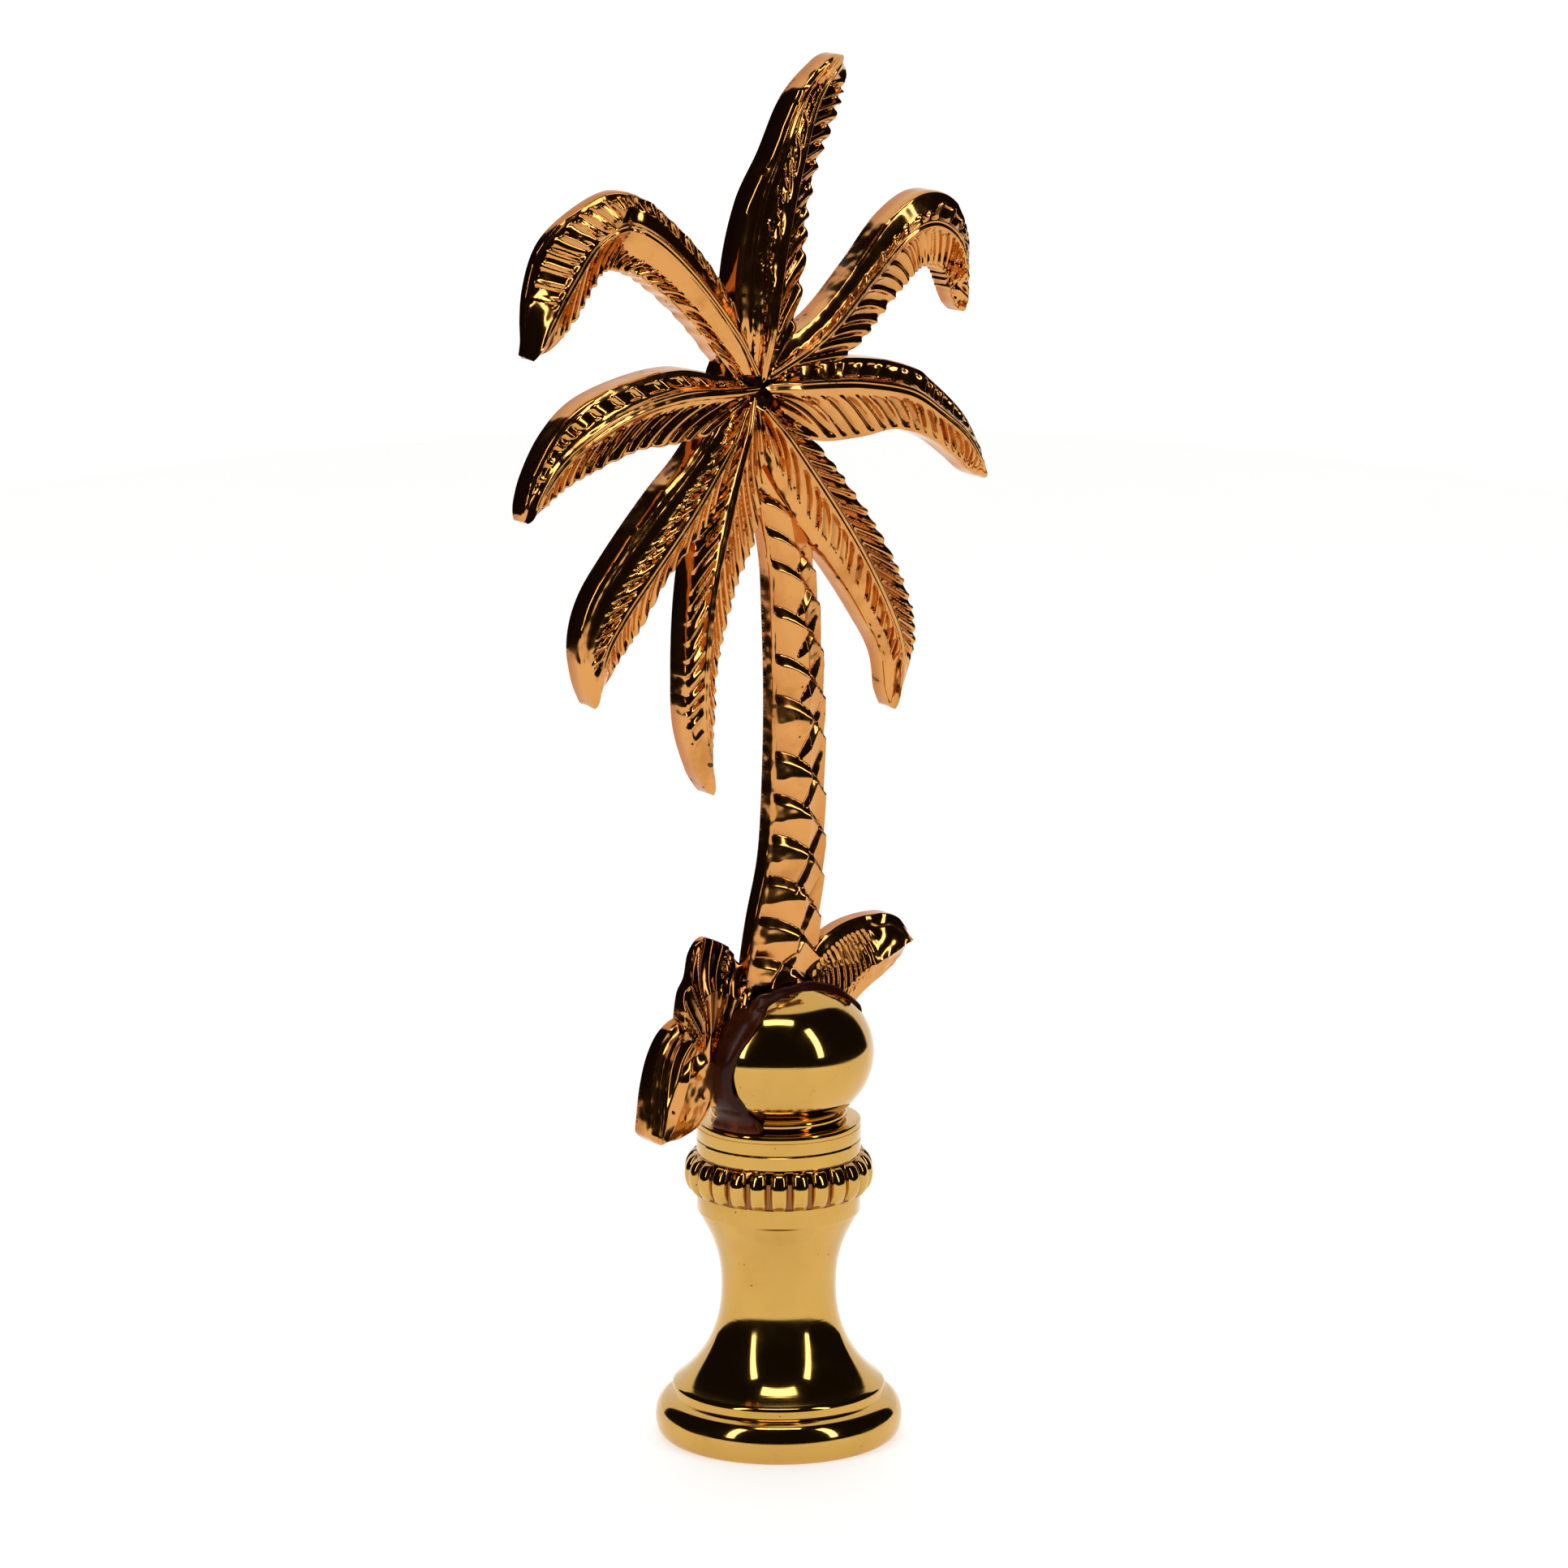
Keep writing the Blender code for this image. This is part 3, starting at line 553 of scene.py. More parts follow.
def relief(name, left, ridge, right, edge=1.85, crest=2.6, sweep=0.07, step=0.095, across=32,
           lefts=None, rights=None, cut=(0, 0), notch=(0, 0), rib=0.16, rib_wide=0.36, twin=0.16,
           slope=1.3, tip=0.84, blunt=0.055, dip=0.6, draft=(0.2, 0.15), sink=0.0, front=None):
    """A flat-backed blade between two drawn edges, raised to its ridge.

    Edge and crest are its thickness at the sides and along the ridge. Leaflets cut
    into the front and notch the sides, and front adds what one blade has alone.
    """
    total = np.linalg.norm(np.diff(through(ridge, np.linspace(0, 1, 80)), axis=0), axis=1).sum()
    t = np.linspace(0, 1, max(8, int(total / step)))
    s = np.linspace(-1, 1, 2 * across + 1)
    s = np.sign(s) * np.abs(s) ** 1.12
    q = np.abs(s)[None, :] * np.ones((len(t), 1))
    is_left = s[None, :] < 0
    along = t[:, None] + sweep * q * (1 - t[:, None])
    middle = through(ridge, along)
    outer = np.where(is_left[..., None], through(left, along), through(right, along))
    half = np.linalg.norm(outer - middle, axis=2)
    d = half * q
    walked = along * total
    bend_in = np.sqrt(np.clip(1 - ((along - 1 + blunt) / blunt).clip(0, 1) ** 2, 0.05, 1))
    fall = 1 - (1 - tip) * t[:, None] ** 4
    depth = (edge + (crest - edge) * (1 - q) ** slope) * fall
    side = np.ones_like(q)
    for mask, pattern, deep, bite in (
            (is_left, lefts, cut[0], notch[0]), (~is_left, rights, cut[1], notch[1])):
        if pattern is None:
            continue
        here, up = leaflets(walked, d, q, along, **pattern)
        depth = depth - mask * here * deep * (1 - up) * (1 - 0.5 * smooth(q, 0.7, 1))
        depth = depth + mask * here * 0.1
        side = side - mask * here * bite * (1 - up) * smooth(q, 0.5, 1)
    spine = np.exp(-(d / rib_wide) ** 4) * (1 - smooth(along, 0.88, 1.0))
    depth = depth + spine * (rib - twin * np.exp(-(d / (0.33 * rib_wide)) ** 2))
    if front is not None:
        depth = depth + front(np.where(is_left, -q, q), along, middle + (outer - middle) * q[..., None])
    depth = depth * (0.7 + 0.3 * bend_in) - dip * (1 - smooth(along, -0.02, 0.1))
    slim = np.where(is_left, draft[0], draft[1])
    wide = np.maximum(half, 1e-6)
    shown = q * side * bend_in * np.clip(1 - slim / wide, 0.2, 1)
    flat = middle + (outer - middle) * shown[..., None]
    grid = np.concatenate([flat, depth[..., None]], axis=2)
    columns = [grid]
    wave = 0.12 * np.sin(walked[:, :1] * 1.1 + 2 * np.sin(walked[:, :1] * 0.7))
    for col in (0, -1):
        rim, wall = grid[:, col], outer[:, col]
        mid = middle[:, col]
        full = mid + (wall - mid) * (side * bend_in)[:, col][:, None]
        rows = []
        for share, drop in ((0.5, 0.05), (0.82, 0.17), (1.0, 0.45)):
            place = rim[:, :2] + (full - rim[:, :2]) * share
            height = rim[:, 2] - drop - wave[:, 0] * (drop > 0.1)
            rows.append(np.concatenate([place, height[:, None]], axis=1))
        rows.append(np.concatenate([full, np.full((len(t), 1), sink)], axis=1))
        rows = np.stack(rows, axis=1)
        columns = [rows[:, ::-1]] + columns if col == 0 else columns + [rows]
    grid = np.concatenate(columns, axis=1)
    rows, wide = grid.shape[:2]
    verts = np.stack([grid[..., 0], -grid[..., 2], grid[..., 1]], axis=2).reshape(-1, 3) / 1000
    faces = [tuple(range(wide)), tuple(range((rows - 1) * wide, rows * wide))]
    for i in range(rows - 1):
        a, b = i * wide, (i + 1) * wide
        for j in range(wide):
            k = (j + 1) % wide
            faces.append((a + j, a + k, b + k, b + j))
    thing = thing_from(name, verts, faces, RED)
    shape = bmesh.new()
    shape.from_mesh(thing.data)
    bmesh.ops.triangulate(shape, faces=shape.faces)
    shape.to_mesh(thing.data)
    shape.free()
    return thing


RED, tree, shader = new_material("cast red brass")
shader.inputs["Metallic"].default_value = 1
shader.inputs["Coat Weight"].default_value = 0.2
shader.inputs["Coat Roughness"].default_value = 0.05
marks = place_group(tree, TARNISH, Blotch_scale=330.0, Pit_scale=1300.0, Pit_size=0.1)
hollow = tree.nodes.new("ShaderNodeAttribute")
hollow.attribute_name = "recess"
base = blend(tree, math_node(tree, "MULTIPLY", marks.outputs["Blotches"], 0.8),
             (0.68, 0.31, 0.085, 1), (0.50, 0.19, 0.04, 1))
# Painted dark reflection: surfaces lying back near the flat back, mostly the lower walls, are tinted a
# darker red-brown.
place, apart, deep = add_nodes(tree, "ShaderNodeTexCoord", "ShaderNodeSeparateXYZ", "ShaderNodeMapRange")
deep.inputs["From Min"].default_value = -0.0013
deep.inputs["From Max"].default_value = -0.0005
deep.inputs["To Max"].default_value = 0.6
tree.links.new(place.outputs["Object"], apart.inputs[0])
tree.links.new(apart.outputs[1], deep.inputs["Value"])
base = blend(tree, deep.outputs[0], base, (0.42, 0.11, 0.018, 1))
# the recess layer: patina in the hollows, with painted dark reflection and shade on the grass, the comb and
# the crown's heart
base = blend(tree, hollow.outputs["Fac"], base, (0.16, 0.05, 0.012, 1))
base = blend(tree, marks.outputs["Pits"], base, (0.08, 0.03, 0.01, 1))
tree.links.new(base, shader.inputs["Base Color"])
rough = math_node(tree, "ADD", 0.1, math_node(tree, "MULTIPLY", marks.outputs["Blotches"], 0.1))
tree.links.new(rough, shader.inputs["Roughness"])
lumps, bump = add_nodes(tree, "ShaderNodeTexNoise", "ShaderNodeBump")
lumps.inputs["Scale"].default_value = 750.0
lumps.inputs["Detail"].default_value = 1.0
bump.inputs["Distance"].default_value = 0.00008
tree.links.new(place.outputs["Object"], lumps.inputs["Vector"])
stretch, filed, back = add_nodes(tree, "ShaderNodeVectorMath", "ShaderNodeTexNoise", "ShaderNodeMapRange")
stretch.operation = "MULTIPLY"
stretch.inputs[1].default_value = (0.06, 1, 1.3)
filed.inputs["Scale"].default_value = 5000.0
back.inputs["From Min"].default_value = -0.0003
back.inputs["From Max"].default_value = -0.0002
back.inputs["To Max"].default_value = 0.16
tree.links.new(place.outputs["Object"], stretch.inputs[0])
tree.links.new(stretch.outputs[0], filed.inputs["Vector"])
tree.links.new(apart.outputs[1], back.inputs["Value"])
file_marks = math_node(tree, "MULTIPLY", filed.outputs[0], back.outputs[0])
tree.links.new(math_node(tree, "ADD", lumps.outputs[0], file_marks), bump.inputs["Height"])
tree.links.new(bump.outputs[0], shader.inputs["Normal"])


def bent(side, along, flat):
    """The upper left frond is folded over near its middle: a hollow crosses it."""
    turned = smooth(along, 0.44, 0.54) * smooth(-side, 0.2, 1)
    return -0.3 * np.exp(-((along - 0.47 - 0.05 * side) / 0.03) ** 2) - 0.95 * turned


def folds(strength, count, lean):
    """Long soft folds beside the rib on the left."""
    def front(side, along, flat):
        return -strength * (side < -0.3) * np.sin(side * count + lean * along) ** 2
    return front


def pitted(side, along, flat):
    """Bubbles in the casting near the tip."""
    x, z = flat[..., 0], flat[..., 1]
    lumps = np.sin(5.1 * x + 1.3 * np.sin(3.7 * z)) * np.sin(4.7 * z + 1.1 * np.sin(4.9 * x))
    return 0.13 * np.clip(lumps, -1, 0.2) * smooth(along, 0.7, 0.8)


FRONDS = {
    "top": dict(
        left=[(-4.4, 69.5), (-4.5, 75.0), (-3.4, 79.5), (-1.65, 82.6), (-0.3, 85.3), (1.0, 86.9),
              (3.2, 88.6)],
        ridge=[(-2.6, 68.5), (-1.7, 74.7), (-0.8, 79.1), (0.15, 82.6), (0.9, 85.0), (1.9, 86.7),
               (3.7, 88.4)],
        right=[(-0.6, 68.5), (0.6, 74.2), (1.05, 78.4), (1.8, 81.6), (2.9, 84.0), (3.8, 86.1),
               (4.2, 87.8)],
        lefts=dict(pitch=2.09, reach=3.4, bend=0.9, band=(0.1, 0.6), jag=0.35),
        rights=dict(pitch=1.49, reach=1.1, bend=0.9, band=(0.18, 1.0)),
        cut=(0.26, 0.38), notch=(0, 0.12), front=folds(0.12, 9, 5), draft=(0.45, 0.15)),
    "upper right": dict(
        left=[(-2.9, 70.1), (1.4, 72.2), (4.6, 75.2), (7.3, 78.1), (9.9, 79.5), (12.25, 78.95),
              (13.5, 76.4), (13.45, 72.1)],
        ridge=[(-2.3, 68.7), (2.0, 71.3), (5.4, 74.5), (8.1, 76.9), (10.3, 77.6), (12.1, 76.6),
               (12.9, 74.7), (13.1, 71.7)],
        right=[(-0.5, 67.6), (4.2, 69.8), (6.7, 72.0), (8.6, 73.8), (9.8, 74.7), (11.3, 74.5),
               (12.0, 73.2), (12.75, 71.7)],
        lefts=dict(pitch=1.21, reach=1.5, band=(0.1, 0.42), late=(0.1, 0.8), turn=0.6, jag=0.15),
        rights=dict(pitch=0.94, reach=1.2, band=(0.12, 1.0)),
        cut=(0.26, 0.27), notch=(0, 0.05), front=pitted),
    "right": dict(
        left=[(-2.6, 69.5), (1.5, 69.65), (5.6, 69.4), (9.0, 68.6), (11.2, 67.1), (13.25, 65.1),
              (14.6, 62.7), (14.9, 61.3)],
        ridge=[(-2.4, 68.2), (1.8, 68.1), (5.1, 67.8), (8.5, 67.0), (10.9, 65.5), (12.9, 63.9),
               (14.2, 62.1), (14.8, 60.9)],
        right=[(-1.4, 65.6), (1.8, 64.45), (4.9, 64.4), (8.0, 64.6), (10.5, 63.8), (12.4, 62.5),
               (13.6, 61.5), (14.4, 61.0)],
        lefts=dict(pitch=1.04, reach=0.5, band=(0.28, 0.95), jag=0.05),
        rights=dict(pitch=1.10, reach=2.2, bend=0.6, band=(0.16, 0.97), jag=0.05),
        cut=(0.24, 0.32), rib_wide=0.46, notch=(0.02, 0.0)),
    "lower right": dict(
        left=[(-3.4, 65.4), (-1.15, 61.35), (0.75, 58.7), (2.9, 56.3), (5.2, 53.1), (6.85, 50.3),
              (7.3, 47.3)],
        ridge=[(-2.6, 67.1), (0.4, 63.2), (2.9, 59.8), (4.9, 56.8), (6.7, 53.6), (7.9, 50.6),
               (7.85, 46.7)],
        right=[(-0.8, 67.0), (1.8, 64.25), (4.7, 60.9), (7.1, 57.5), (8.9, 54.0), (9.4, 50.9),
               (8.3, 47.2)],
        lefts=dict(pitch=1.26, reach=2.6, bend=0.65, band=(0.12, 0.94), jag=0.2),
        rights=dict(pitch=1.10, reach=1.5, bend=0.8, band=(0.16, 1.0)),
        cut=(0.33, 0.32), notch=(0, 0.05), draft=(0.5, 0.15)),
    "lower middle": dict(
        left=[(-4.6, 67.0), (-6.2, 62.9), (-7.4, 59.5), (-8.1, 55.1), (-8.3, 50.5), (-8.1, 46.9),
              (-6.8, 43.2)],
        ridge=[(-3.2, 67.7), (-4.6, 63.6), (-5.6, 60.0), (-6.6, 56.0), (-7.1, 50.9), (-7.0, 47.0),
               (-6.1, 42.8)],
        right=[(-1.6, 67.0), (-2.4, 62.8), (-2.9, 59.0), (-4.5, 55.4), (-5.7, 51.2), (-6.0, 47.0),
               (-6.0, 43.3)],
        lefts=dict(pitch=1.10, reach=1.5, band=(0.2, 1.0)),
        rights=dict(pitch=1.21, reach=2.8, bend=0.7, band=(0.12, 1.0)),
        cut=(0.24, 0.30), notch=(0, 0.05), draft=(0.3, 0.15)),
    "lower left": dict(
        left=[(-5.2, 67.9), (-7.9, 64.4), (-10.25, 62.1), (-13.2, 58.8), (-15.25, 56.0), (-16.0, 53.2),
              (-15.5, 50.0)],
        ridge=[(-3.6, 67.2), (-6.2, 63.4), (-8.3, 60.6), (-11.0, 57.5), (-13.2, 54.9), (-14.6, 52.5),
               (-14.9, 49.3)],
        right=[(-3.6, 65.6), (-5.1, 61.8), (-7.0, 59.4), (-9.55, 56.8), (-11.3, 54.2), (-12.85, 52.3),
               (-14.7, 49.8)],
        lefts=dict(pitch=1.26, reach=2.1, bend=0.7, band=(0.1, 0.56), jag=0.25),
        rights=dict(pitch=1.21, reach=2.2, bend=0.7, band=(0.12, 1.0)),
        cut=(0.29, 0.30), notch=(0, 0.03), draft=(0.35, 0.15), front=folds(0.08, 7, 2)),
    "left": dict(
        left=[(-2.6, 69.2), (-5.2, 69.2), (-8.6, 69.85), (-12.2, 69.45), (-15.7, 68.3), (-17.9, 66.4),
              (-19.35, 63.95), (-20.0, 61.7)],
        ridge=[(-2.8, 68.2), (-5.5, 68.3), (-8.9, 68.3), (-12.4, 67.6), (-15.4, 66.3), (-17.6, 64.8),
               (-19.0, 63.0), (-19.7, 61.3)],
        right=[(-3.4, 66.5), (-6.3, 65.6), (-8.9, 65.2), (-11.7, 65.0), (-14.5, 64.1), (-16.6, 63.3),
               (-18.3, 62.2), (-19.5, 61.3)],
        lefts=dict(pitch=1.21, reach=0.9, band=(0.4, 0.94), jag=0.06),
        rights=dict(pitch=1.21, reach=2.4, bend=0.65, band=(0.22, 1.0)),
        cut=(0.24, 0.32), notch=(0, 0.02), draft=(0.35, 0.15), rib_wide=0.46),
    "upper left": dict(
        left=[(-2.7, 70.6), (-5.3, 74.7), (-7.8, 77.8), (-10.55, 80.2), (-12.7, 81.0), (-15.35, 80.1),
              (-17.9, 78.2), (-19.05, 75.4), (-19.3, 72.0)],
        ridge=[(-2.8, 68.9), (-5.3, 72.4), (-8.0, 75.6), (-10.7, 78.0), (-12.9, 78.9), (-15.0, 78.0),
               (-16.5, 76.1), (-17.9, 73.9), (-19.2, 71.2)],
        right=[(-3.4, 67.6), (-5.2, 69.7), (-7.9, 72.8), (-10.8, 75.2), (-12.8, 76.1), (-14.1, 76.1),
               (-15.3, 74.5), (-16.9, 72.5), (-18.7, 71.2)],
        lefts=dict(pitch=1.04, reach=0.9, band=(0.66, 1.0), late=(0.1, 0.9), jag=0.1),
        rights=dict(pitch=1.1, reach=2.4, bend=0.8, band=(0.6, 1.0), late=(0.1, 1.0), jag=0.12),
        cut=(0.30, 0.36), notch=(0.0, 0.04), front=bent),
}
TRUNK = dict(
    left=[(-3.9, 67.0), (-2.6, 62.0), (-1.6, 57.5), (-1.35, 53.9), (-1.2, 48.6), (-1.3, 43.4),
          (-1.65, 38.2), (-2.6, 34.0), (-3.2, 30.2), (-3.3, 26.6)],
    ridge=[(-1.9, 66.4), (-0.6, 61.0), (0.5, 57.0), (1.0, 53.2), (1.4, 48.0), (1.4, 42.8), (1.2, 37.5),
           (0.6, 33.2), (0.2, 29.4), (0.2, 25.8)],
    right=[(-0.6, 67.0), (0.9, 62.0), (1.9, 57.4), (2.5, 53.7), (2.9, 48.5), (2.95, 43.2), (2.95, 38.0),
           (2.6, 33.8), (2.4, 30.0), (2.3, 26.6)])
GRASS = dict(
    left=[(-8.2, 27.0), (-8.1, 28.7), (-7.85, 30.1), (-7.35, 31.0), (-7.0, 32.5), (-6.2, 33.4),
          (-5.2, 33.2), (-4.2, 32.6), (-3.5, 31.5), (-2.4, 30.7), (-1.6, 29.9)],
    ridge=[(-7.4, 26.8), (-7.2, 28.0), (-7.0, 29.0), (-6.8, 29.6), (-6.6, 30.0), (-6.3, 30.2),
           (-5.7, 30.2), (-5.0, 29.9), (-4.4, 29.4), (-3.6, 28.8), (-2.8, 28.0)],
    right=[(-7.0, 26.2), (-6.8, 26.4), (-6.7, 26.4), (-6.6, 26.4), (-6.4, 26.4), (-6.2, 26.3),
           (-5.9, 26.2), (-5.6, 26.1), (-5.3, 26.0), (-5.0, 25.9), (-4.6, 25.8)])
LEFT_LEAF = dict(
    left=[(-7.2, 28.5), (-8.3, 28.4), (-9.4, 27.6), (-10.2, 26.2), (-10.7, 24.4), (-10.95, 22.6),
          (-11.1, 21.2)],
    ridge=[(-6.8, 27.6), (-7.4, 27.0), (-8.0, 26.0), (-8.5, 24.8), (-8.9, 23.4), (-9.4, 21.9),
           (-10.1, 20.8)],
    right=[(-6.2, 27.2), (-6.2, 26.2), (-6.0, 25.3), (-6.0, 24.0), (-6.3, 22.7), (-7.2, 21.5),
           (-9.0, 20.7)])
RIGHT_LEAF = dict(
    left=[(1.2, 30.8), (2.1, 31.9), (3.25, 32.7), (4.7, 33.2), (6.4, 33.4), (7.8, 33.3), (8.9, 32.8),
          (9.5, 32.0)],
    ridge=[(2.6, 27.6), (3.6, 28.6), (4.5, 29.3), (5.5, 29.9), (6.6, 30.3), (7.7, 30.7), (8.8, 31.2),
           (9.45, 31.5)],
    right=[(3.0, 26.0), (4.0, 27.2), (4.8, 27.7), (5.5, 28.3), (6.5, 28.9), (7.6, 29.5), (8.7, 30.3),
           (9.35, 31.0)])
# the height of each scale's left tip, and both ends of each slash on the right
SCALE_TOPS = [61.6, 59.4, 57.3, 54.3, 51.2, 48.6, 45.0, 42.3, 39.7, 37.1, 34.5, 31.9]
SLASHES = [((1.1, 60.4), (0.5, 59.3)), ((1.5, 57.8), (0.47, 56.3)), ((1.85, 55.8), (0.56, 53.5)),
           ((2.3, 53.6), (0.6, 50.8)), ((2.6, 50.9), (0.79, 47.9)), ((2.7, 47.8), (0.67, 44.2)),
           ((2.75, 45.0), (0.98, 41.0)), ((2.75, 40.3), (0.36, 35.6)), ((2.5, 36.4), (0.3, 31.7)),
           ((0.4, 31.8), (-1.5, 29.7))]


def bark(side, along, flat):
    """Old leaf bases: each steps out under a curved line, then falls back to the next."""
    x, z = flat[..., 0], flat[..., 1]
    u = np.clip((x - x[:, :1]) / (x[:, -1:] - x[:, :1]), 0, 1)
    change = np.zeros_like(z)
    inner = smooth(u, 0.03, 0.08)
    for i, (top, below) in enumerate(zip(SCALE_TOPS, SCALE_TOPS[1:] + [SCALE_TOPS[-1] - 3])):
        v = (top - 0.1 - 3.0 * u ** 2) - z
        tall = top - below
        ledge = 0.16 + 0.5 * (1 - u ** 2) * smooth(u, -0.1, 0.2)
        long = ledge + (i > 4) * 1.5 * np.clip(1 - u / 0.75, 0, 1)
        value = -0.2 * np.clip(1 - v / ledge, 0, 1) ** 1.1 - 0.09 * np.clip(1 - v / long, 0, 1)
        value = value - 0.29 * np.clip((v - long) / (tall - long), 0, 1) ** 1.3
        change = np.where(v > -0.04, value * inner, change)
    change = change - 0.12 * np.clip(1 - u / 0.05, 0, 1)
    for high, low in SLASHES:
        run = np.array(high) - low
        size = np.hypot(*run)
        way = run / size
        s = (x - low[0]) * way[0] + (z - low[1]) * way[1]
        c = -(x - low[0]) * way[1] + (z - low[1]) * way[0]
        lens = np.sqrt(np.clip(1 - (2 * s / size - 1) ** 2, 0, 1))
        wide = 0.36 * lens + 1e-6
        shape = np.where(c > 0.3 * wide, (wide - c) / (0.7 * wide), (c + 1.2 * wide) / (1.5 * wide))
        change = change - 0.34 * lens * np.clip(shape, 0, 1) * (s > 0) * (s < size)
    return change


def tuft(side, along, flat):
    """Wavy blades of grass that fan up from one root."""
    x, z = flat[..., 0] + 6.9, flat[..., 1] - 24.6
    r = np.hypot(x, z)
    a = np.degrees(np.arctan2(z, x)) + 3 * np.sin(r * 0.8)
    f = a / 6.5
    blade = np.abs(np.cos(pi * (f + 0.25 * np.sin(f * 2.3))))
    return -0.3 * blade ** 1.6 - 0.17 * (r - 4)


def pebbled(side, along, flat):
    """A hollow above, and a lumpy lower half that turns down."""
    x, z = flat[..., 0], flat[..., 1]
    lumps = np.sin(2.2 * x + 1.1 * np.sin(1.7 * z)) * np.sin(2.6 * z + 1.2 * np.sin(1.9 * x))
    low = 1 - smooth(z, 24.6, 25.6)
    hollow = -0.6 * np.exp(-((side - 0.1) / 0.45) ** 2) * smooth(z, 24.8, 26.3)
    lines = -0.14 * np.exp(-((side + 0.62) / 0.07) ** 2) - 0.1 * np.exp(-((side + 0.86) / 0.05) ** 2)
    dents = -0.16 * np.clip(lumps - 0.45, 0, 1) * low * smooth(side, -0.5, -0.3)
    flank = -0.5 * np.clip(-0.45 - side, 0, 1) ** 1.3 - 0.13 * (z - 22) * (1 - smooth(side, -0.6, -0.4))
    return hollow + dents + flank - 0.1 * (25.6 - z).clip(0, 9) * smooth(side, -0.6, -0.4) + lines


def combed(side, along, flat):
    """Fine curved ridges near the root, and soft dents beyond them."""
    x, z = flat[..., 0], flat[..., 1]
    f = (x - 0.25 * np.sin((z - 29) * 0.9) + 0.05 * (z - 29) ** 2) / 0.4
    comb = np.abs(np.cos(pi * (f + 0.15 * np.sin(f)))) ** 1.3
    where = smooth(x, 1.4, 2.0) * (1 - smooth(x, 5.6, 6.8))
    where = where * smooth(side, -0.82, -0.7) * (1 - smooth(side, 0.2, 0.7))
    dents = np.sin(2.9 * x + 1.3 * np.sin(2.7 * z)) * np.sin(3.4 * z + 1.5 * np.sin(2.1 * x))
    return -0.17 * comb * where + 0.07 * dents * smooth(x, 5.6, 6.6) - 0.09 * (z - 29)


def round_plate(name, middle, wide, front, back):
    """A round upright plate, where the roots of the fronds meet."""
    rim = [(middle[0] + wide * cos(i * pi / 24), middle[1] + wide * sin(i * pi / 24)) for i in range(48)]
    verts = [(x, y, z) for y in (back, front) for x, z in rim]
    faces = [tuple(range(48)), tuple(range(48, 96))]
    faces += [(i, (i + 1) % 48, 48 + (i + 1) % 48, 48 + i) for i in range(48)]
    return thing_from(name, verts, faces, RED)


plain = dict(rib=0, twin=0, tip=1, sweep=0, dip=0)
crown = [relief(name, sink=0.02 * (i + 1), **frond) for i, (name, frond) in enumerate(FRONDS.items())]
trunk = relief("trunk", edge=1.16, crest=1.72, sweep=-0.02, slope=1.6, rib=0, twin=0, tip=1, dip=0,
               across=30, step=0.1, blunt=0.001, draft=(0.1, 0.1), front=bark, **TRUNK)
foot_parts = [
    relief("grass", edge=1.5, crest=2.1, across=40, step=0.1, sink=0.02, front=tuft, **plain, **GRASS),
    relief("right leaf", edge=1.3, crest=1.9, across=32, sink=0.06, step=0.08, front=combed,
           draft=(0.25, 0.2), blunt=0.03, **plain, **RIGHT_LEAF),
    relief("left leaf", edge=1.9, crest=2.4, across=28, sink=0.04, front=pebbled, draft=(0.6, 0.3),
           **plain, **LEFT_LEAF),
    cut_box("tenon", (-0.0063, -0.00144, 0.0227), (0.004, -0.00008, 0.0282)),
    round_plate("heart", (-0.0022, 0.0681), 0.0035, -0.0013, -0.00001)]
# one mesh of it all would be too large, so three overlap at the heart
palms = {"palm_trunk": [trunk] + foot_parts, "palm_right": crown[:4], "palm_left": crown[4:]}
for first, *others in palms.values():
    for other in others:
        apply_boolean(first, other, "UNION", "MANIFOLD")


SPREAD = 6
# darkening in the hollows is patina; on the grass, the comb and the crown's heart it is painted dark
# reflection and shade
HOLLOW_STAIN, GRASS_PAINTED_SHADE, COMB_PAINTED_SHADE, ROOT_PAINTED_SHADE = 6, 0.85, 0.5, 0.45


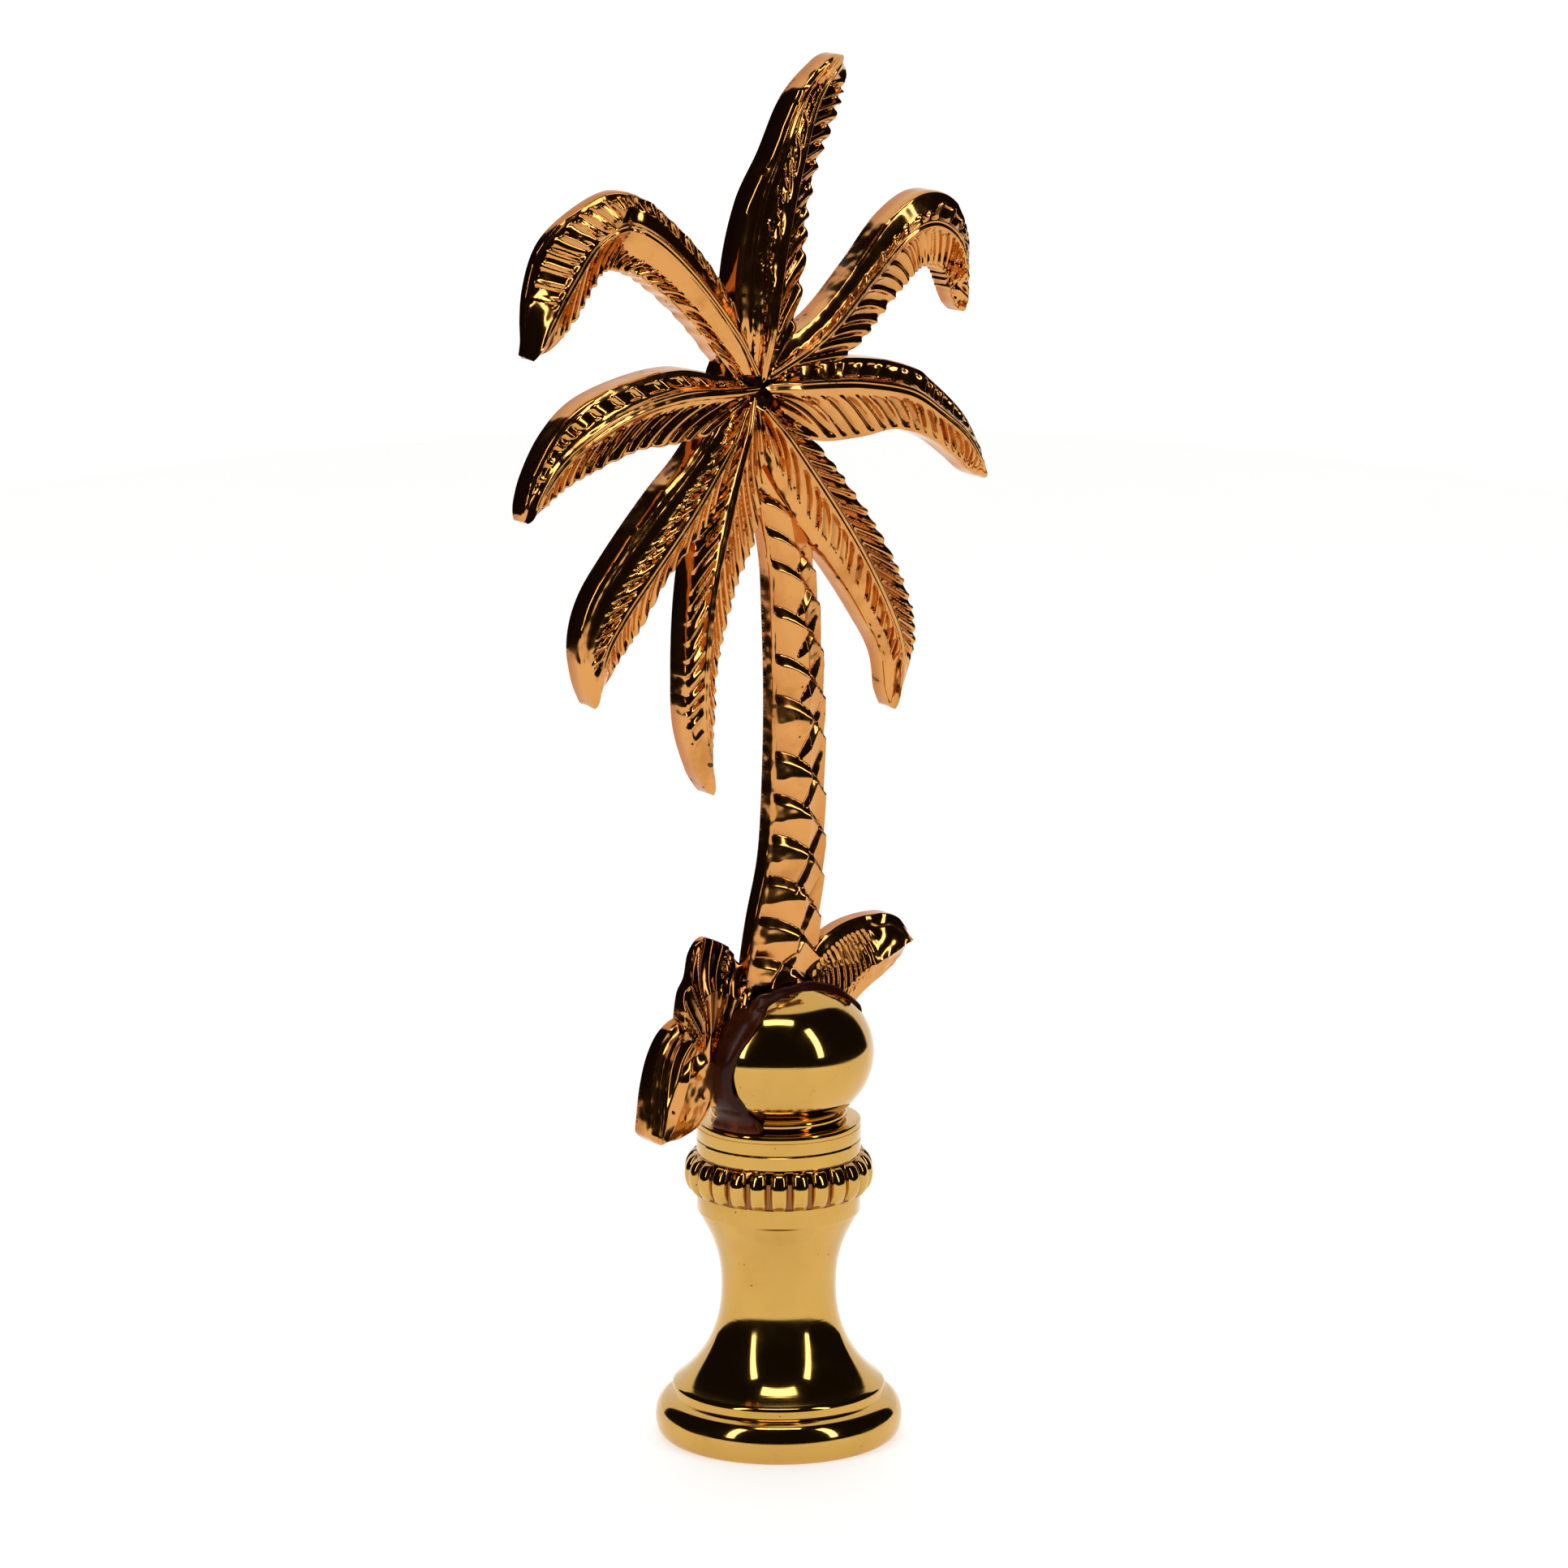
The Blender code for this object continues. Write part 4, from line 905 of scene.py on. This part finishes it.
def mark_recess(thing):
    """Store how hollow each point is, for patina where polish never reached, and add painted dark
    reflection and shade on the grass, the comb and the heart of the crown.
    """
    mesh = thing.data
    n = len(mesh.vertices)
    co = np.empty(n * 3)
    mesh.vertices.foreach_get("co", co)
    co = co.reshape(-1, 3)
    normals = np.empty(n * 3)
    mesh.vertices.foreach_get("normal", normals)
    normals = normals.reshape(-1, 3)
    ends = np.empty(len(mesh.edges) * 2, int)
    mesh.edges.foreach_get("vertices", ends)
    a, b = ends.reshape(-1, 2).T
    gap = co[b] - co[a]
    far = np.linalg.norm(gap, axis=1) + 1e-9
    total, weight = np.zeros(n), np.zeros(n)
    for i, way in ((a, 1), (b, -1)):
        lean_in = (gap * way * normals[i]).sum(1) / far
        np.add.at(total, i, lean_in)
        np.add.at(weight, i, 1)
    value = total / np.maximum(weight, 1)
    for _ in range(SPREAD):
        spread, weight = value.copy(), np.ones(n)
        np.add.at(spread, a, value[b])
        np.add.at(spread, b, value[a])
        np.add.at(weight, a, 1)
        np.add.at(weight, b, 1)
        value = spread / weight
    x, _, z = co.T * 1000
    # painted dark reflection on the grass, which tilts up towards the dark front
    grass = smooth(-x, 2.2, 3.4) * smooth(z, 26.2, 28.2) * (1 - smooth(z, 33.5, 34.5)) * (x > -8.8)
    # painted dark reflection on the comb, strongest where it faces up
    comb = smooth(x, 1.6, 2.4) * (1 - smooth(x, 5.0, 6.6)) * smooth(z, 26, 28) * (1 - smooth(z, 34, 36))
    comb = comb * np.clip(normals[:, 2] * 0.6 + 0.3, 0, 1)
    # painted shade where the roots of the fronds meet
    roots = np.exp(-((x + 2.9) ** 2 + (z - 67) ** 2) / 9)
    darkening = GRASS_PAINTED_SHADE * grass + COMB_PAINTED_SHADE * comb + ROOT_PAINTED_SHADE * roots
    value = np.clip((value - 0.03) * HOLLOW_STAIN + darkening, 0, 1)
    layer = mesh.attributes.new("recess", "FLOAT", "POINT")
    layer.data.foreach_set("value", value.astype(np.float32))


for name, (thing, *_) in palms.items():
    thing.name = name
    thing.data.materials.clear()
    thing.data.materials.append(RED)
    thing.data.shade_smooth()
    thing.data.set_sharp_from_angle(angle=radians(62))
    mark_recess(thing)
    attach(thing, "root")
    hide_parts("palm")


# Adhesive
# Old brown glue, set hard and glossy. It fills the slot in front of the palm and
# has run down the left of the ball into a pool on the disc.
BROWN, tree, shader = new_material("old brown glue")
shader.inputs["Roughness"].default_value = 0.22
shader.inputs["Specular IOR Level"].default_value = 0.14
marks = place_group(tree, TARNISH, Blotch_scale=330.0, Pit_scale=700.0, Pit_size=0.05)
# Painted light: low on the disc, where the glue is thin, it is made amber as if lit through from behind.
place, apart, low = add_nodes(tree, "ShaderNodeTexCoord", "ShaderNodeSeparateXYZ", "ShaderNodeMapRange")
low.inputs["From Min"].default_value = 0.0222
low.inputs["From Max"].default_value = 0.0212
tree.links.new(place.outputs["Object"], apart.inputs[0])
tree.links.new(apart.outputs[2], low.inputs["Value"])
base = blend(tree, marks.outputs["Blotches"], (0.032, 0.005, 0.002, 1), (0.075, 0.014, 0.004, 1))
painted_amber_glow = math_node(tree, "MULTIPLY", low.outputs[0], math_node(tree, "ADD", marks.outputs["Blotches"], 0.25))
tree.links.new(blend(tree, painted_amber_glow, base, (0.22, 0.04, 0.006, 1)), shader.inputs["Base Color"])

# height, the turn of its right and left edges from the front in degrees, and radius
RUN = [(20.83, 47, 99, 5.12), (21.15, 47, 97, 5.08), (21.6, 50, 92, 5.05), (22.1, 55, 87, 5.35),
       (22.7, 60, 84, 5.9), (23.6, 62.5, 82, 6.33), (24.6, 63, 82, 6.52), (25.6, 61, 84, 6.5),
       (26.6, 57, 87, 6.2), (27.4, 52, 90, 5.85), (28.2, 47, 92, 5.35), (28.9, 44, 92, 4.7)]


def cap_radius(z):
    """The cap's own radius behind the glue."""
    ball = BALL_R * sqrt(max(0.01, 1 - ((z - BALL_Z) / BALL_RISE) ** 2))
    return ball if z > 21.7 else NECK_R


def run_of_glue():
    """The run down the left of the ball, swollen in its middle and thin at its edges."""
    rows = through(RUN, np.linspace(0, 1, 56))
    count = 26
    verts = []
    for z, right_end, left_end, radius in rows:
        inner = cap_radius(z) + 0.03
        for i in range(count + 1):
            u = i / count
            a = radians(right_end + (left_end - right_end) * u)
            swell = max(0, 1 - abs(2 * u - 1) ** 5) ** 0.5
            r = inner + 0.02 + (max(radius, inner + 0.1) - inner) * swell
            verts.append((-r * sin(a) / 1000, -r * cos(a) / 1000, z / 1000))
        for i in range(count, -1, -1):
            a = radians(right_end + (left_end - right_end) * i / count)
            verts.append((-inner * sin(a) / 1000, -inner * cos(a) / 1000, z / 1000))
    wide = 2 * (count + 1)
    faces = [tuple(range(wide)), tuple(range((len(rows) - 1) * wide, len(rows) * wide))]
    for i in range(len(rows) - 1):
        for j in range(wide):
            a, b, k = i * wide, (i + 1) * wide, (j + 1) % wide
            faces.append((a + j, a + k, b + k, b + j))
    return thing_from("glue", verts, faces, BROWN)


def hump(x, at, wide):
    return exp(-((x - at) / wide) ** 2)


def glue_in_slot():
    """The bead that stands proud of the slot in front of the palm."""
    verts, count, wide = [], 80, 12
    for i in range(count + 1):
        x = -5.0 + 9.6 * i / count
        top = BALL_Z + BALL_RISE * sqrt(max(0.02, 1 - (x * x + 2.5 ** 2) / BALL_R ** 2))
        proud = 0.32 + 0.5 * hump(x, -3.4, 1.1) + 0.05 * sin(3 * x) + 0.12 * hump(x, 1.2, 1.4)
        for j in range(wide):
            a = pi * j / (wide - 1)
            z = top - 0.35 + (proud + 0.35) * sin(a)
            verts.append((x / 1000, (-2.42 + 0.42 * cos(a)) / 1000, z / 1000))
        verts.append((x / 1000, -0.00284, 0.0225))
        verts.append((x / 1000, -0.0020, 0.0225))
    wide += 2
    faces = [tuple(range(wide)), tuple(range(count * wide, (count + 1) * wide))]
    for i in range(count):
        for j in range(wide):
            a, b, k = i * wide, (i + 1) * wide, (j + 1) % wide
            faces.append((a + j, a + k, b + k, b + j))
    return thing_from("bead", verts, faces, BROWN)


glue = run_of_glue()
apply_boolean(glue, glue_in_slot(), "UNION", "EXACT")
step = glue.modifiers.new("set", "REMESH")
step.mode = "VOXEL"
step.voxel_size = 0.00011
soft = glue.modifiers.new("soft", "SMOOTH")
soft.iterations = 5
bpy.context.view_layer.update()
graph = bpy.context.evaluated_depsgraph_get()
mesh = bpy.data.meshes.new_from_object(glue.evaluated_get(graph))
glue.modifiers.clear()
glue.data = mesh
glue.name = "old_glue"
glue.data.shade_smooth()
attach(glue, "root")
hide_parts("adhesive")
